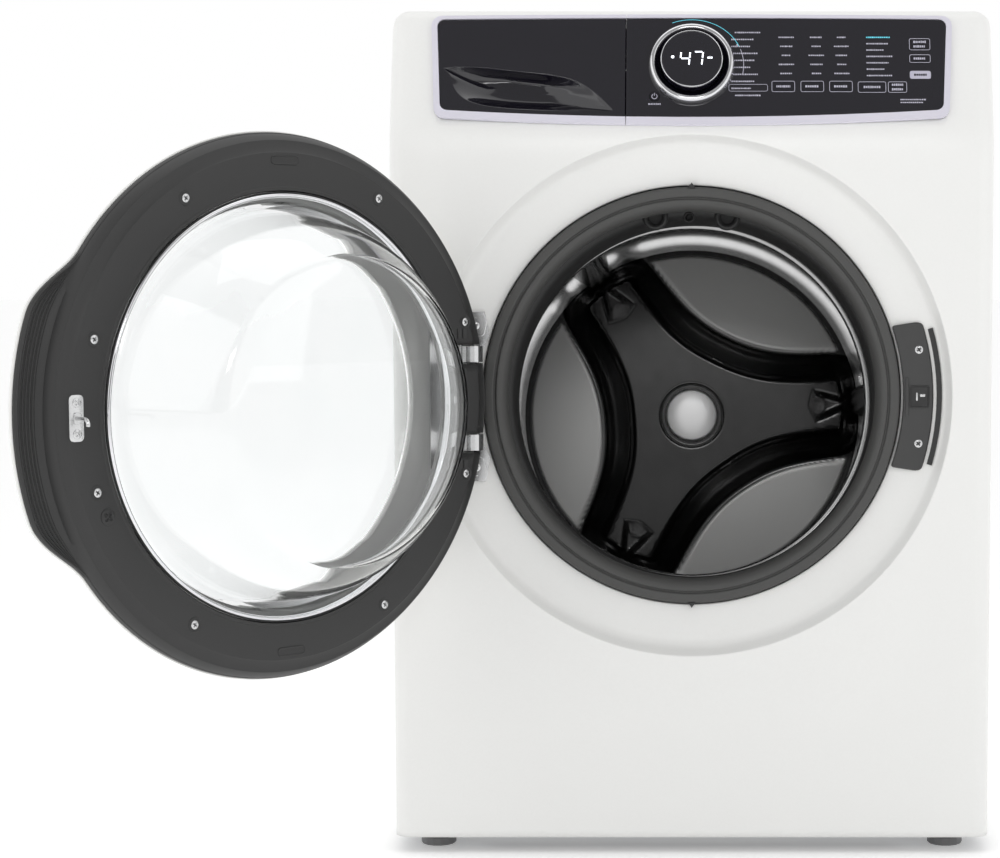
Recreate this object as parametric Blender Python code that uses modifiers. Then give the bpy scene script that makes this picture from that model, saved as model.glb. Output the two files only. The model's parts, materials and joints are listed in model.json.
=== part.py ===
"""Front load washing machine with its door open, as separate pieces on real joints.

Units are metres. +Z is up, the front of the cabinet faces -Y and +X is to the right of a
person who stands in front of it. The origin is the centre of the base frame's underside.
"""

import math

import bmesh
import bpy
from mathutils import Vector

# ---------------------------------------------------------------- driving dimensions
CABINET_WIDTH = 0.686
CABINET_HEIGHT = 0.952
CABINET_DEPTH = 0.720
SHEET = 0.0012
GAP = 0.0004
SIDE_EDGE_RADIUS = 0.020
TOP_EDGE_RADIUS = 0.012
CONSOLE_LEAN = math.radians(21.0)
LEAN_START_Z = 0.805
PANEL_BOTTOM_Z = 0.004

FOOT_HEIGHT = 0.013
FOOT_RADIUS = 0.0205
FOOT_X = 0.2965
FOOT_INSET_Y = 0.050
FOOT_STUD_RADIUS = 0.005
PAN_WIDTH = 0.500
PAN_SHEET = 0.002
RAIL_HEIGHT = 0.010
RAIL_RISE = 0.003

CONSOLE_BOTTOM_Z = 0.818
CONSOLE_HEIGHT = 0.136
CONSOLE_HALF_BOTTOM = 0.291
CONSOLE_HALF_TOP = 0.297
CONSOLE_BOTTOM_RISE = 0.0094
CONSOLE_TOP_DROP = 0.0018
CONSOLE_CORNER = 0.012
CONSOLE_SPLIT_X = -0.0745
FASCIA_THICKNESS = 0.003
TRIM_TOP = 0.0046
TRIM_SIDE = 0.0070
TRIM_BOTTOM = 0.0095
TRIM_PROUD = 0.0015
CONSOLE_STANDOFF = 0.0006
OPENING_HALF_WIDTH = 0.2862
OPENING_BOTTOM = 0.0105
OPENING_TOP = 0.1210
OPENING_CORNER = 0.010

DIAL_S = 0.0740
DIAL_RADIUS = 0.0490
DIAL_BAND = 0.0080
DIAL_PROUD = 0.0100
DISPLAY_RADIUS = 0.0355
DISPLAY_PROUD = 0.0165
KEY_TRAVEL = 0.0010
KEY_CLEARANCE = 0.0006
KEY_THICKNESS = 0.0040
KEY_PROUD = 0.0005

DRAWER_SCOOP_DEPTH = 0.014
SCOOP_HALF_LENGTH = 0.0960
SCOOP_CENTRE = (-0.1860, 0.0445)
SCOOP_HALF_HEIGHT = 0.0255
TRAY_WIDTH = 0.176
TRAY_CENTRE_X = -0.178
TRAY_BOTTOM_Z = 0.842
TRAY_HEIGHT = 0.068
TRAY_LENGTH = 0.250
TRAY_WALL = 0.002
HOUSING_CLEARANCE = 0.0015

DOOR_Z = 0.512
DOOR_RADIUS = 0.289
HANDLE_REACH = 0.0275
HANDLE_HALF_ANGLE = math.radians(19.0)
HANDLE_BLEND_ANGLE = math.radians(16.0)
DOOR_OPEN_ANGLE = math.radians(134.0)
DOOR_FACE_DEPTH = 0.014
DOOR_RIM_DEPTH = -0.0103
DOOR_FRONT_DEPTH = -0.045
DOOR_WALL = 0.0025
WINDOW_RADIUS = 0.206
GLASS_RADIUS = 0.2255
GLASS_DEPTH = 0.128
GLASS_WALL = 0.004

RECESS_RADIUS = 0.296
RECESS_DEPTH = 0.026
GASKET_RADIUS = 0.2385
GASKET_MOUTH_RADIUS = 0.2105
GASKET_WALL = 0.003
GASKET_FOLD_RADIUS = 0.230

HINGE_X = -0.262
HINGE_DEPTH = -0.012
HINGE_ARM_Z = 0.050
HINGE_ARM_HEIGHT = 0.018
HINGE_ARM_THICKNESS = 0.003
HINGE_NECK_RADIUS = 0.0125
HINGE_PIN_RADIUS = 0.003
HINGE_EAR_Z = 0.097
KNUCKLE_HEEL = 0.0045
KNUCKLE_REACH = 0.0160
LATCH_RADIUS = 0.2605

TUB_TILT = math.radians(6.0)
TUB_RADIUS = 0.288
TUB_WALL = 0.003
TUB_SPLIT = 0.320
TUB_BACK = 0.545
TUB_MOUTH = 0.110
TUB_LIP = 0.002
TUB_NECK_RADIUS = 0.2225
DRUM_RADIUS = 0.262
DRUM_SHEET = 0.0012
DRUM_FRONT = 0.122
DRUM_BACK = 0.500
DRUM_MOUTH_RADIUS = 0.206
STAR_HEIGHT = 0.034
STAR_PHASE = math.radians(4.5)
LIFTER_HEIGHT = 0.050
LIFTER_LENGTH = 0.300
HUB_CAP_RADIUS = 0.036
SHAFT_RADIUS = 0.0125
PULLEY_RADIUS = 0.150
MOTOR_PULLEY_RADIUS = 0.0125
PULLEY_WIDTH = 0.018
PULLEY_DEPTH = 0.625
BELT_THICKNESS = 0.003
MOTOR_DROP = 0.362
MOTOR_RADIUS = 0.055
MOTOR_LENGTH = 0.140

VALVE_X = -0.200
VALVE_Z = 0.850
SPOUT_SPACING = 0.060
SPOUT_RADIUS = 0.0132

# ---------------------------------------------------------------- facets round a full turn
DOOR_STEPS = 40
DISH_STEPS = 40
RUBBER_STEPS = 32
TUB_STEPS = 26
SMALL_STEPS = 20
FOOT_STEPS = 14

# ---------------------------------------------------------------- derived places
FRONT_Y = -CABINET_DEPTH / 2
REAR_Y = CABINET_DEPTH / 2
HALF_WIDTH = CABINET_WIDTH / 2
LEAN = math.tan(CONSOLE_LEAN)
PANEL_WRAP_Y = FRONT_Y + (CABINET_HEIGHT - LEAN_START_Z) * LEAN + TOP_EDGE_RADIUS
CONSOLE_Y = FRONT_Y + (CONSOLE_BOTTOM_Z - LEAN_START_Z) * LEAN
FOOT_Y = CABINET_DEPTH / 2 - FOOT_INSET_Y
FASCIA_BACK = -CONSOLE_STANDOFF
FASCIA_FRONT = FASCIA_BACK - FASCIA_THICKNESS

# ---------------------------------------------------------------- finishes
WHITE_ENAMEL = ("white_enamel", (0.82, 0.82, 0.80), 0.28, 0.0)
GALVANISED = ("galvanised_steel", (0.55, 0.56, 0.57), 0.45, 1.0)
WHITE_PLASTIC = ("white_plastic", (0.80, 0.80, 0.78), 0.35, 0.0)
GREY_PLASTIC = ("grey_plastic", (0.22, 0.22, 0.22), 0.55, 0.0)
DARK_PLASTIC = ("dark_plastic", (0.042, 0.042, 0.042), 0.45, 0.0)
FASCIA_GLOSS = ("fascia_gloss", (0.013, 0.011, 0.021), 0.12, 0.0)
SATIN_CHROME = ("satin_chrome", (0.72, 0.71, 0.78), 0.22, 1.0)
KEY_GLOSS = ("key_gloss", (0.020, 0.018, 0.028), 0.20, 0.0)
GASKET_RUBBER = ("gasket_rubber", (0.115, 0.115, 0.112), 0.60, 0.0)
CLEAR_GLASS = ("clear_glass", (0.95, 0.96, 0.96), 0.03, 0.0)
STAINLESS = ("stainless_steel", (0.60, 0.60, 0.60), 0.20, 1.0)
CAST_ALUMINIUM = ("cast_aluminium", (0.50, 0.50, 0.51), 0.50, 1.0)
TUB_PLASTIC = ("tub_plastic", (0.60, 0.62, 0.62), 0.50, 0.0)
CONCRETE = ("concrete", (0.33, 0.32, 0.30), 0.90, 0.0)
MOTOR_STEEL = ("motor_steel", (0.10, 0.10, 0.10), 0.40, 1.0)
BELT_RUBBER = ("belt_rubber", (0.02, 0.02, 0.02), 0.70, 0.0)
BOARD_GREEN = ("board_green", (0.03, 0.14, 0.06), 0.45, 0.0)

FACING_FRONT = (math.pi / 2, 0.0, 0.0)
FACING_SIDE = (math.pi / 2, 0.0, math.pi / 2)
FACING_UP = (0.0, 0.0, 0.0)


# ---------------------------------------------------------------- scene and object helpers
def clear_scene():
    """Remove every object, so the model starts from nothing."""
    for old in list(bpy.data.objects):
        bpy.data.objects.remove(old, do_unlink=True)


def make_collection(name):
    """A collection under the scene's own."""
    collection = bpy.data.collections.new(name)
    bpy.context.scene.collection.children.link(collection)
    return collection


def material_for(finish):
    """The Principled material of a finish, made once."""
    name, colour, roughness, metallic = finish
    material = bpy.data.materials.get(name)
    if material is None:
        material = bpy.data.materials.new(name)
        material.use_nodes = True
        shader = material.node_tree.nodes["Principled BSDF"]
        shader.inputs["Base Color"].default_value = (*colour, 1.0)
        shader.inputs["Roughness"].default_value = roughness
        shader.inputs["Metallic"].default_value = metallic
    return material


def place(obj, parent=None, location=(0, 0, 0), rotation=(0, 0, 0)):
    """Set an object's place under its parent."""
    obj.parent = parent
    obj.location = location
    obj.rotation_euler = rotation
    return obj


def add_piece(name, mesh, finish, parent=None, location=(0, 0, 0), rotation=(0, 0, 0)):
    """One named piece of the machine with its own finish."""
    mesh.materials.clear()
    mesh.materials.append(material_for(finish))
    obj = bpy.data.objects.new(name, mesh)
    parts.objects.link(obj)
    return place(obj, parent, location, rotation)


def add_tool(obj):
    """Turn an object into a cutter or an operand that is not itself a piece."""
    parts.objects.unlink(obj)
    cutters.objects.link(obj)
    obj.hide_render = True
    obj.display_type = "WIRE"
    return obj


def boolean(piece, other, operation):
    """Cut a piece with another, or join the other to it."""
    add_tool(other)
    modifier = piece.modifiers.new(f"{operation.lower()}_{other.name}", "BOOLEAN")
    modifier.operation = operation
    modifier.solver = "EXACT"
    modifier.object = other
    return piece


def cut(piece, cutter):
    """Take the cutter's shape out of the piece."""
    return boolean(piece, cutter, "DIFFERENCE")


def join(piece, other):
    """Join the other shape to the piece as one solid."""
    return boolean(piece, other, "UNION")


def smooth(mesh, angle=math.radians(35)):
    """Smooth shading with sharp edges kept."""
    mesh.shade_smooth()
    mesh.set_sharp_from_angle(angle=angle)
    return mesh


def block(name, size, finish, parent=None, location=(0, 0, 0), rotation=(0, 0, 0)):
    """A box of a size, centred on its location."""
    shape = bmesh.new()
    bmesh.ops.create_cube(shape, size=1.0)
    bmesh.ops.scale(shape, vec=size, verts=shape.verts)
    mesh = bpy.data.meshes.new(name)
    shape.to_mesh(mesh)
    shape.free()
    return add_piece(name, mesh, finish, parent, location, rotation)


def round_bar(name, radius, length, finish, parent=None, location=(0, 0, 0),
              rotation=(0, 0, 0), steps=24):
    """A cylinder along its own Z, centred on its location."""
    shape = bmesh.new()
    bmesh.ops.create_cone(shape, cap_ends=True, segments=steps, radius1=radius,
                          radius2=radius, depth=length)
    mesh = bpy.data.meshes.new(name)
    shape.to_mesh(mesh)
    shape.free()
    return add_piece(name, smooth(mesh), finish, parent, location, rotation)


def mesh_from_curve(curve_object):
    """The closed mesh of a filled curve, with its caps welded on."""
    bpy.context.view_layer.update()
    graph = bpy.context.evaluated_depsgraph_get()
    mesh = bpy.data.meshes.new_from_object(curve_object.evaluated_get(graph))
    shape = bmesh.new()
    shape.from_mesh(mesh)
    bmesh.ops.remove_doubles(shape, verts=shape.verts, dist=0.00001)
    shape.to_mesh(mesh)
    shape.free()
    bpy.data.objects.remove(curve_object, do_unlink=True)
    return mesh


def flat_piece(name, outlines, thickness, finish, parent=None, location=(0, 0, 0),
               rotation=FACING_FRONT):
    """A flat outline, with any inner outlines as holes, given a thickness both ways."""
    curve = bpy.data.curves.new(name, "CURVE")
    curve.dimensions = "2D"
    curve.fill_mode = "BOTH"
    curve.extrude = thickness / 2
    for outline in outlines:
        spline = curve.splines.new("POLY")
        spline.points.add(len(outline) - 1)
        for point, (across, up) in zip(spline.points, outline):
            point.co = (across, up, 0.0, 1.0)
        spline.use_cyclic_u = True
    curve_object = bpy.data.objects.new(name, curve)
    parts.objects.link(curve_object)
    return add_piece(name, mesh_from_curve(curve_object), finish, parent, location, rotation)


def turned_piece(name, profile, finish, steps=SMALL_STEPS, parent=None, location=(0, 0, 0),
                 rotation=FACING_FRONT):
    """A profile of (radius, depth) points turned about the depth axis, which runs to +Y."""
    twice_area = sum(a[0] * b[1] - b[0] * a[1]
                     for a, b in zip(profile, profile[1:] + profile[:1]))
    if twice_area < 0:
        profile = profile[::-1]
    on_axis = profile[0][0] < 1e-6 or profile[-1][0] < 1e-6
    count = len(profile)
    edges = [(i, i + 1) for i in range(count - 1)]
    if not on_axis:
        edges.append((count - 1, 0))
    mesh = bpy.data.meshes.new(name)
    mesh.from_pydata([(radius, 0.0, -depth) for radius, depth in profile], edges, [])
    obj = add_piece(name, mesh, finish, parent, location, rotation)
    screw = obj.modifiers.new("turn", "SCREW")
    screw.steps = steps
    screw.render_steps = steps
    screw.use_merge_vertices = True
    screw.merge_threshold = 0.00001
    screw.use_smooth_shade = True
    return obj


def walled(path, thickness):
    """A closed profile: the path, and the same path offset to its left by the wall."""
    points = [Vector(p) for p in path]
    offset = []
    for i, point in enumerate(points):
        before = (point - points[i - 1]).normalized() if i else None
        after = (points[i + 1] - point).normalized() if i + 1 < len(points) else None
        ahead = before or after
        if before and after:
            ahead = (before + after).normalized()
        left = Vector((-ahead.y, ahead.x))
        lean = (after or before).dot(ahead)
        offset.append(point + left * (thickness / max(lean, 0.5)))
    return [tuple(p) for p in points] + [tuple(p) for p in reversed(offset)]


def sheet_from_rows(name, rows, wrap, wall, finish, parent=None, location=(0, 0, 0),
                    rotation=(0, 0, 0), centre=None):
    """A thin shell over rows of points, its wall laid on the side away from the normals."""
    columns = len(rows[0])
    verts = [point for row in rows for point in row]
    faces = []
    for i in range(len(rows) - 1):
        for j in range(columns if wrap else columns - 1):
            k = (j + 1) % columns
            faces.append((i * columns + j, i * columns + k,
                          (i + 1) * columns + k, (i + 1) * columns + j))
    if centre is not None:
        verts.append(centre)
        last = (len(rows) - 1) * columns
        faces.extend((last + j, last + (j + 1) % columns, len(verts) - 1)
                     for j in range(columns))
    mesh = bpy.data.meshes.new(name)
    mesh.from_pydata(verts, [], faces)
    smooth(mesh)
    obj = add_piece(name, mesh, finish, parent, location, rotation)
    solid = obj.modifiers.new("wall", "SOLIDIFY")
    solid.thickness = wall
    solid.offset = -1.0
    solid.use_even_offset = True
    return obj


def empty(name, parent=None, location=(0, 0, 0), rotation=(0, 0, 0)):
    """An axis system that carries pieces."""
    obj = bpy.data.objects.new(name, None)
    parts.objects.link(obj)
    return place(obj, parent, location, rotation)


# ---------------------------------------------------------------- outline helpers
def arc(centre, radius, start, stop, steps):
    """Points on an arc from one angle to another, both ends included."""
    return [(centre[0] + radius * math.cos(start + (stop - start) * i / steps),
             centre[1] + radius * math.sin(start + (stop - start) * i / steps))
            for i in range(steps + 1)]


def circle(centre, radius, steps=32):
    """A closed ring of points."""
    return arc(centre, radius, 0.0, math.tau * (steps - 1) / steps, steps - 1)


def rectangle(centre, size):
    """The four corners of a rectangle."""
    half_x, half_y = size[0] / 2, size[1] / 2
    return [(centre[0] + x * half_x, centre[1] + y * half_y)
            for x, y in ((-1, -1), (1, -1), (1, 1), (-1, 1))]


def rounded(corners, radius, steps=4, only=None):
    """An outline with its corners, or only the named ones, drawn as arcs."""
    points = [Vector(c) for c in corners]
    outline = []
    for i, corner in enumerate(points):
        if only is not None and i not in only:
            outline.append(tuple(corner))
            continue
        to_last = (points[i - 1] - corner).normalized()
        to_next = (points[(i + 1) % len(points)] - corner).normalized()
        half = to_last.angle(to_next) / 2
        reach = radius / math.tan(half)
        centre = corner + (to_last + to_next).normalized() * (radius / math.sin(half))
        first = corner + to_last * reach - centre
        last = corner + to_next * reach - centre
        start = math.atan2(first.y, first.x)
        turn = (math.atan2(last.y, last.x) - start + math.pi) % math.tau - math.pi
        outline.extend(arc(centre, radius, start, start + turn, steps))
    return outline


def plate_outline(centre, size, radius, steps=3):
    """A rectangle with round corners."""
    return rounded(rectangle(centre, size), radius, steps)


def sector(inner, outer, start, stop, steps=10):
    """A piece of a ring between two angles."""
    return arc((0, 0), outer, start, stop, steps) + arc((0, 0), inner, stop, start, steps)


def smoothstep(value):
    """A soft ramp from 0 to 1."""
    value = min(max(value, 0.0), 1.0)
    return value * value * (3 - 2 * value)


# ---------------------------------------------------------------- base and feet
def build_base():
    """Pressed base: a pan, and two side rails that carry the levelling feet."""
    pan_length = CABINET_DEPTH - 2 * FOOT_INSET_Y
    base = block("base_frame", (PAN_WIDTH, pan_length, PAN_SHEET), GALVANISED,
                 location=(0, 0, PAN_SHEET / 2))
    rail_inner = PAN_WIDTH / 2 - 0.010
    rail_outer = HALF_WIDTH - SHEET - GAP
    rail_length = CABINET_DEPTH - 2 * (SIDE_EDGE_RADIUS + SHEET)
    for side in (-1, 1):
        width = rail_outer - rail_inner
        rail = block(f"rail_{side}", (width, rail_length, RAIL_HEIGHT), GALVANISED,
                     location=(side * (rail_inner + width / 2), 0, RAIL_RISE + RAIL_HEIGHT / 2))
        link = block(f"rail_link_{side}", (0.020, pan_length * 0.9, RAIL_RISE + 0.004),
                     GALVANISED, location=(side * (rail_inner - 0.002), 0,
                                           PAN_SHEET * 0.4 + (RAIL_RISE + 0.004) / 2))
        join(base, link)
        join(base, rail)
        for end in (-1, 1):
            cut(base, round_bar(f"foot_hole_{side}_{end}", FOOT_STUD_RADIUS + GAP, 0.1,
                                GALVANISED, location=(side * FOOT_X, end * FOOT_Y, 0)))


def build_feet():
    """Four levelling feet: a round pad on a threaded stud."""
    pad_top = RAIL_RISE - 0.0015
    stud_top = 0.040
    for side, side_name in ((-1, "left"), (1, "right")):
        for end, end_name in ((-1, "front"), (1, "rear")):
            profile = [(0.0, FOOT_HEIGHT), (FOOT_RADIUS - 0.002, FOOT_HEIGHT),
                       (FOOT_RADIUS, FOOT_HEIGHT - 0.002), (FOOT_RADIUS, FOOT_HEIGHT - 0.009),
                       (FOOT_RADIUS * 0.62, -pad_top), (FOOT_STUD_RADIUS, -pad_top),
                       (FOOT_STUD_RADIUS, -stud_top), (0.0, -stud_top)]
            turned_piece(f"levelling_foot_{end_name}_{side_name}", profile, GREY_PLASTIC,
                         steps=FOOT_STEPS, location=(side * FOOT_X, end * FOOT_Y, 0),
                         rotation=FACING_UP)


# ---------------------------------------------------------------- cabinet
def panel_front_y(z):
    """Depth of the front sheet at a height: upright, then leaning, then rolled over."""
    ease = 0.020
    rise = z - LEAN_START_Z
    if rise <= -ease:
        leaned = 0.0
    elif rise < ease:
        leaned = (rise + ease) ** 2 / (4 * ease)
    else:
        leaned = rise
    y = FRONT_Y + leaned * LEAN
    into_roll = z - (CABINET_HEIGHT - TOP_EDGE_RADIUS)
    if into_roll > 0:
        rest = max(TOP_EDGE_RADIUS ** 2 - into_roll ** 2, 0.0)
        y += TOP_EDGE_RADIUS - math.sqrt(rest)
    return min(y, PANEL_WRAP_Y - SHEET)


def half_width_at(z):
    """Half width of the cabinet at a height, with its rounded top corners."""
    into_corner = z - (CABINET_HEIGHT - SIDE_EDGE_RADIUS)
    if into_corner <= 0:
        return HALF_WIDTH
    rest = max(SIDE_EDGE_RADIUS ** 2 - into_corner ** 2, 0.0)
    return HALF_WIDTH - SIDE_EDGE_RADIUS + math.sqrt(rest)


def front_section(z):
    """One level row of the front sheet, from the left side return round to the right."""
    y = panel_front_y(z)
    half = half_width_at(z)
    radius = max(min(SIDE_EDGE_RADIUS, PANEL_WRAP_Y - y - 0.0005), 0.0006)
    right = arc((half - radius, y + radius), radius, -math.pi / 2, 0.0, 5)
    right.append((half, PANEL_WRAP_Y))
    left = [(-x, depth) for x, depth in reversed(right)]
    return [(x, depth, z) for x, depth in left + right]


def recess_profile():
    """The pressed dish round the door opening, front face first."""
    outer = RECESS_RADIUS
    return [(outer + 0.0025, 0.0003), (outer - 0.0005, 0.0012), (outer - 0.005, 0.0140),
            (outer - 0.014, 0.0200), (GASKET_RADIUS + 0.0015, RECESS_DEPTH),
            (GASKET_RADIUS + 0.0013, RECESS_DEPTH + 0.008)]


def build_front_panel():
    """The white front: a wrapped sheet with the console opening and the door's dish."""
    top = CABINET_HEIGHT
    heights = [PANEL_BOTTOM_Z, 0.30, 0.60, LEAN_START_Z - 0.020, LEAN_START_Z,
               LEAN_START_Z + 0.020, top - SIDE_EDGE_RADIUS, top - 0.0165, top - 0.0120,
               top - 0.0078, top - 0.0042, top - 0.0014, top]
    panel = sheet_from_rows("front_panel", [front_section(z) for z in heights],
                            False, SHEET, WHITE_ENAMEL)
    middle = (0, (OPENING_BOTTOM + OPENING_TOP) / 2)
    size = (2 * OPENING_HALF_WIDTH, OPENING_TOP - OPENING_BOTTOM)
    opening = flat_piece("console_opening", [plate_outline(middle, size, OPENING_CORNER)],
                         0.08, WHITE_ENAMEL, parent=console, rotation=FACING_FRONT)
    cut(panel, opening)
    hole_radius = RECESS_RADIUS + 0.0012
    cut(panel, round_bar("door_hole", hole_radius, 0.08, WHITE_ENAMEL,
                         location=(0, FRONT_Y, DOOR_Z), rotation=FACING_FRONT, steps=DISH_STEPS))
    dish = turned_piece("door_dish", walled(recess_profile(), -SHEET * 0.8), WHITE_ENAMEL,
                        steps=DISH_STEPS, location=(0, FRONT_Y, DOOR_Z))
    cut(dish, block("latch_slot", (0.018, 0.06, 0.022), WHITE_ENAMEL,
                    location=(LATCH_RADIUS, FRONT_Y + RECESS_DEPTH, DOOR_Z)))
    join(panel, dish)


def build_side_panels():
    """The two flat painted sides."""
    front = PANEL_WRAP_Y + GAP
    rear = REAR_Y - SHEET - GAP
    top = CABINET_HEIGHT - SIDE_EDGE_RADIUS - GAP
    for side, side_name in ((-1, "left"), (1, "right")):
        block(f"side_panel_{side_name}", (SHEET, rear - front, top - PANEL_BOTTOM_Z),
              WHITE_ENAMEL, location=(side * (HALF_WIDTH - SHEET / 2), (front + rear) / 2,
                                      (top + PANEL_BOTTOM_Z) / 2))


def build_top_panel():
    """The lid, with rounded side edges and hollow underneath."""
    radius = SIDE_EDGE_RADIUS
    half = HALF_WIDTH - radius
    base_z = CABINET_HEIGHT - radius
    outline = (arc((half, base_z), radius, 0.0, math.pi / 2, 5)
               + arc((-half, base_z), radius, math.pi / 2, math.pi, 5))
    front = PANEL_WRAP_Y + GAP
    length = REAR_Y - front
    lid = flat_piece("top_panel", [outline], length, WHITE_ENAMEL,
                     location=(0, front + length / 2, 0))
    wall = 0.004
    cut(lid, block("lid_hollow", (2 * (HALF_WIDTH - wall) - 0.012, length - 2 * wall,
                                  2 * (radius - 0.0022)), WHITE_ENAMEL,
                   location=(0, front + length / 2, base_z)))


def build_rear():
    """The galvanised rear wall with a service opening, and its cover."""
    top = CABINET_HEIGHT - SIDE_EDGE_RADIUS - GAP
    cover_size = (0.420, 0.470)
    cover_z = 0.440
    opening = (cover_size[0] - 0.030, cover_size[1] - 0.030)
    half = HALF_WIDTH
    wall = [(-half, PANEL_BOTTOM_Z), (half, PANEL_BOTTOM_Z), (half, top), (-half, top)]
    hole = plate_outline((0, cover_z), opening, 0.030, 4)
    valve_hole = plate_outline((VALVE_X, VALVE_Z), (0.116, 0.046), 0.006, 3)
    flat_piece("rear_panel", [wall, hole, valve_hole], SHEET, GALVANISED,
               location=(0, REAR_Y - SHEET / 2, 0))
    flat_piece("rear_access_cover", [plate_outline((0, cover_z), cover_size, 0.035, 4)],
               SHEET, GALVANISED, location=(0, REAR_Y + GAP + SHEET / 2, 0))


def build_inlet_valve():
    """Twin water inlet valve: a body inside the cabinet and two hose spouts."""
    body_depth = 0.050
    body = block("water_inlet_valve", (0.110, body_depth, 0.040), WHITE_PLASTIC,
                 location=(VALVE_X, REAR_Y - 0.004 - body_depth / 2, VALVE_Z))
    for side in (-1, 1):
        spout = turned_piece(f"hose_spout_{side}",
                             [(0.0, 0.0), (SPOUT_RADIUS, 0.0), (SPOUT_RADIUS, 0.034),
                              (0.0085, 0.034), (0.0085, 0.006), (0.0, 0.006)],
                             WHITE_PLASTIC, steps=20,
                             location=(VALVE_X + side * SPOUT_SPACING / 2,
                                       REAR_Y - 0.012, VALVE_Z))
        join(body, spout)


# ---------------------------------------------------------------- console
def console_half(s):
    """Half width of the console at a height up its slope."""
    share = s / CONSOLE_HEIGHT
    return CONSOLE_HALF_BOTTOM + (CONSOLE_HALF_TOP - CONSOLE_HALF_BOTTOM) * share


def console_bottom(x):
    """The lower edge, which rises towards both ends."""
    return CONSOLE_BOTTOM_RISE * (x / CONSOLE_HALF_BOTTOM) ** 2


def console_top(x):
    """The upper edge, which falls a little towards both ends."""
    return CONSOLE_HEIGHT - CONSOLE_TOP_DROP * (x / CONSOLE_HALF_TOP) ** 2


def console_edge(start_x, side, top=0.0, edge=0.0, bottom=0.0):
    """The console's edge from a start round one end: bottom, two corners, top."""
    low_x = side * (console_half(0.0) - edge)
    high_x = side * (console_half(CONSOLE_HEIGHT) - edge)
    steps = 6
    along = [start_x + (low_x - start_x) * i / steps for i in range(steps + 1)]
    back = [high_x + (start_x - high_x) * i / steps for i in range(steps + 1)]
    lower = [(x, console_bottom(x) + bottom) for x in along]
    upper = [(x, console_top(x) - top) for x in back]
    radius = CONSOLE_CORNER - edge * 0.5
    return rounded(lower + upper, radius, 4, only=(steps, steps + 1))


def console_panel(start_x, side, inset=0.0):
    """The closed outline of the dark panel at one side of the split."""
    return console_edge(start_x, side, TRIM_TOP + inset, TRIM_SIDE + inset,
                        TRIM_BOTTOM + inset)


def trim_outline(start_x, side):
    """The closed outline of the bright trim at one side of the split."""
    outer = console_edge(start_x, side)
    inner = console_panel(start_x, side, -GAP)
    return outer + inner[::-1]


KEYS = {
    "power_key": (-0.0421, 0.0348, 0.0110, 0.0110),
    "temperature_key": (0.1037, 0.0470, 0.0270, 0.0142),
    "soil_key": (0.1365, 0.0470, 0.0270, 0.0142),
    "spin_key": (0.1690, 0.0470, 0.0270, 0.0142),
    "options_key": (0.2041, 0.0462, 0.0325, 0.0142),
    "select_key": (0.2330, 0.0462, 0.0220, 0.0142),
    "start_key": (0.2592, 0.0992, 0.0245, 0.0152),
    "cancel_key": (0.2592, 0.0814, 0.0245, 0.0108),
    "dose_key": (0.2592, 0.0613, 0.0245, 0.0104),
}
KEY_CORNER = 0.0022


def key_outline(key, grow):
    """A key's outline, or the hole for it when grown by its clearance."""
    x, s, width, height = KEYS[key]
    if key == "power_key":
        return circle((x, s), width / 2 + grow, 20)
    size = (width - 0.0012 + 2 * grow, height - 0.0012 + 2 * grow)
    return plate_outline((x, s), size, KEY_CORNER + grow, 2)


def build_console():
    """The dark fascia right of the drawer, its trim, keys and circuit board."""
    start = CONSOLE_SPLIT_X + GAP
    holes = [circle((0, DIAL_S), DISPLAY_RADIUS + 0.0010, 40)]
    holes += [key_outline(key, KEY_CLEARANCE) for key in KEYS]
    flat_piece("control_fascia", [console_panel(start, 1)] + holes, FASCIA_THICKNESS,
               FASCIA_GLOSS, parent=console,
               location=(0, FASCIA_FRONT + FASCIA_THICKNESS / 2, 0))
    depth = TRIM_PROUD + FASCIA_THICKNESS
    flat_piece("fascia_trim", [trim_outline(start, 1)], depth, SATIN_CHROME,
               parent=console, location=(0, FASCIA_BACK - depth / 2, 0))
    for key in KEYS:
        flat_piece(key, [key_outline(key, 0.0)], KEY_THICKNESS, KEY_GLOSS, parent=console,
                   location=(0, FASCIA_FRONT - KEY_PROUD + KEY_THICKNESS / 2, 0))
    board_y = 0.0150
    flat_piece("control_board", [rectangle((0.105, 0.068), (0.330, 0.086))], 0.0016,
               BOARD_GREEN, parent=console, location=(0, board_y, 0))


def build_dial():
    """The turning dial ring and the fixed display boss inside it."""
    face = FASCIA_FRONT
    band_inner = DIAL_RADIUS - DIAL_BAND
    sleeve = DISPLAY_RADIUS + 0.0006
    ring = [(DIAL_RADIUS - 0.0008, face - 0.0006), (DIAL_RADIUS, face - 0.0022),
            (DIAL_RADIUS - 0.0020, face - 0.0080), (DIAL_RADIUS - 0.0040, face - DIAL_PROUD),
            (band_inner, face - DIAL_PROUD + 0.0005),
            (sleeve + 0.0012, face - 0.0040), (sleeve, face - 0.0036), (sleeve, face - 0.0006)]
    turned_piece("dial_ring", ring, SATIN_CHROME, steps=TUB_STEPS, parent=console,
                 location=(0, 0, DIAL_S))
    front = face - DISPLAY_PROUD
    boss = [(0.0, front), (DISPLAY_RADIUS - 0.0012, front), (DISPLAY_RADIUS, front + 0.0012),
            (DISPLAY_RADIUS, 0.0060), (0.0, 0.0060)]
    turned_piece("display_boss", boss, FASCIA_GLOSS, steps=TUB_STEPS, parent=console,
                 location=(0, 0, DIAL_S))


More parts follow.
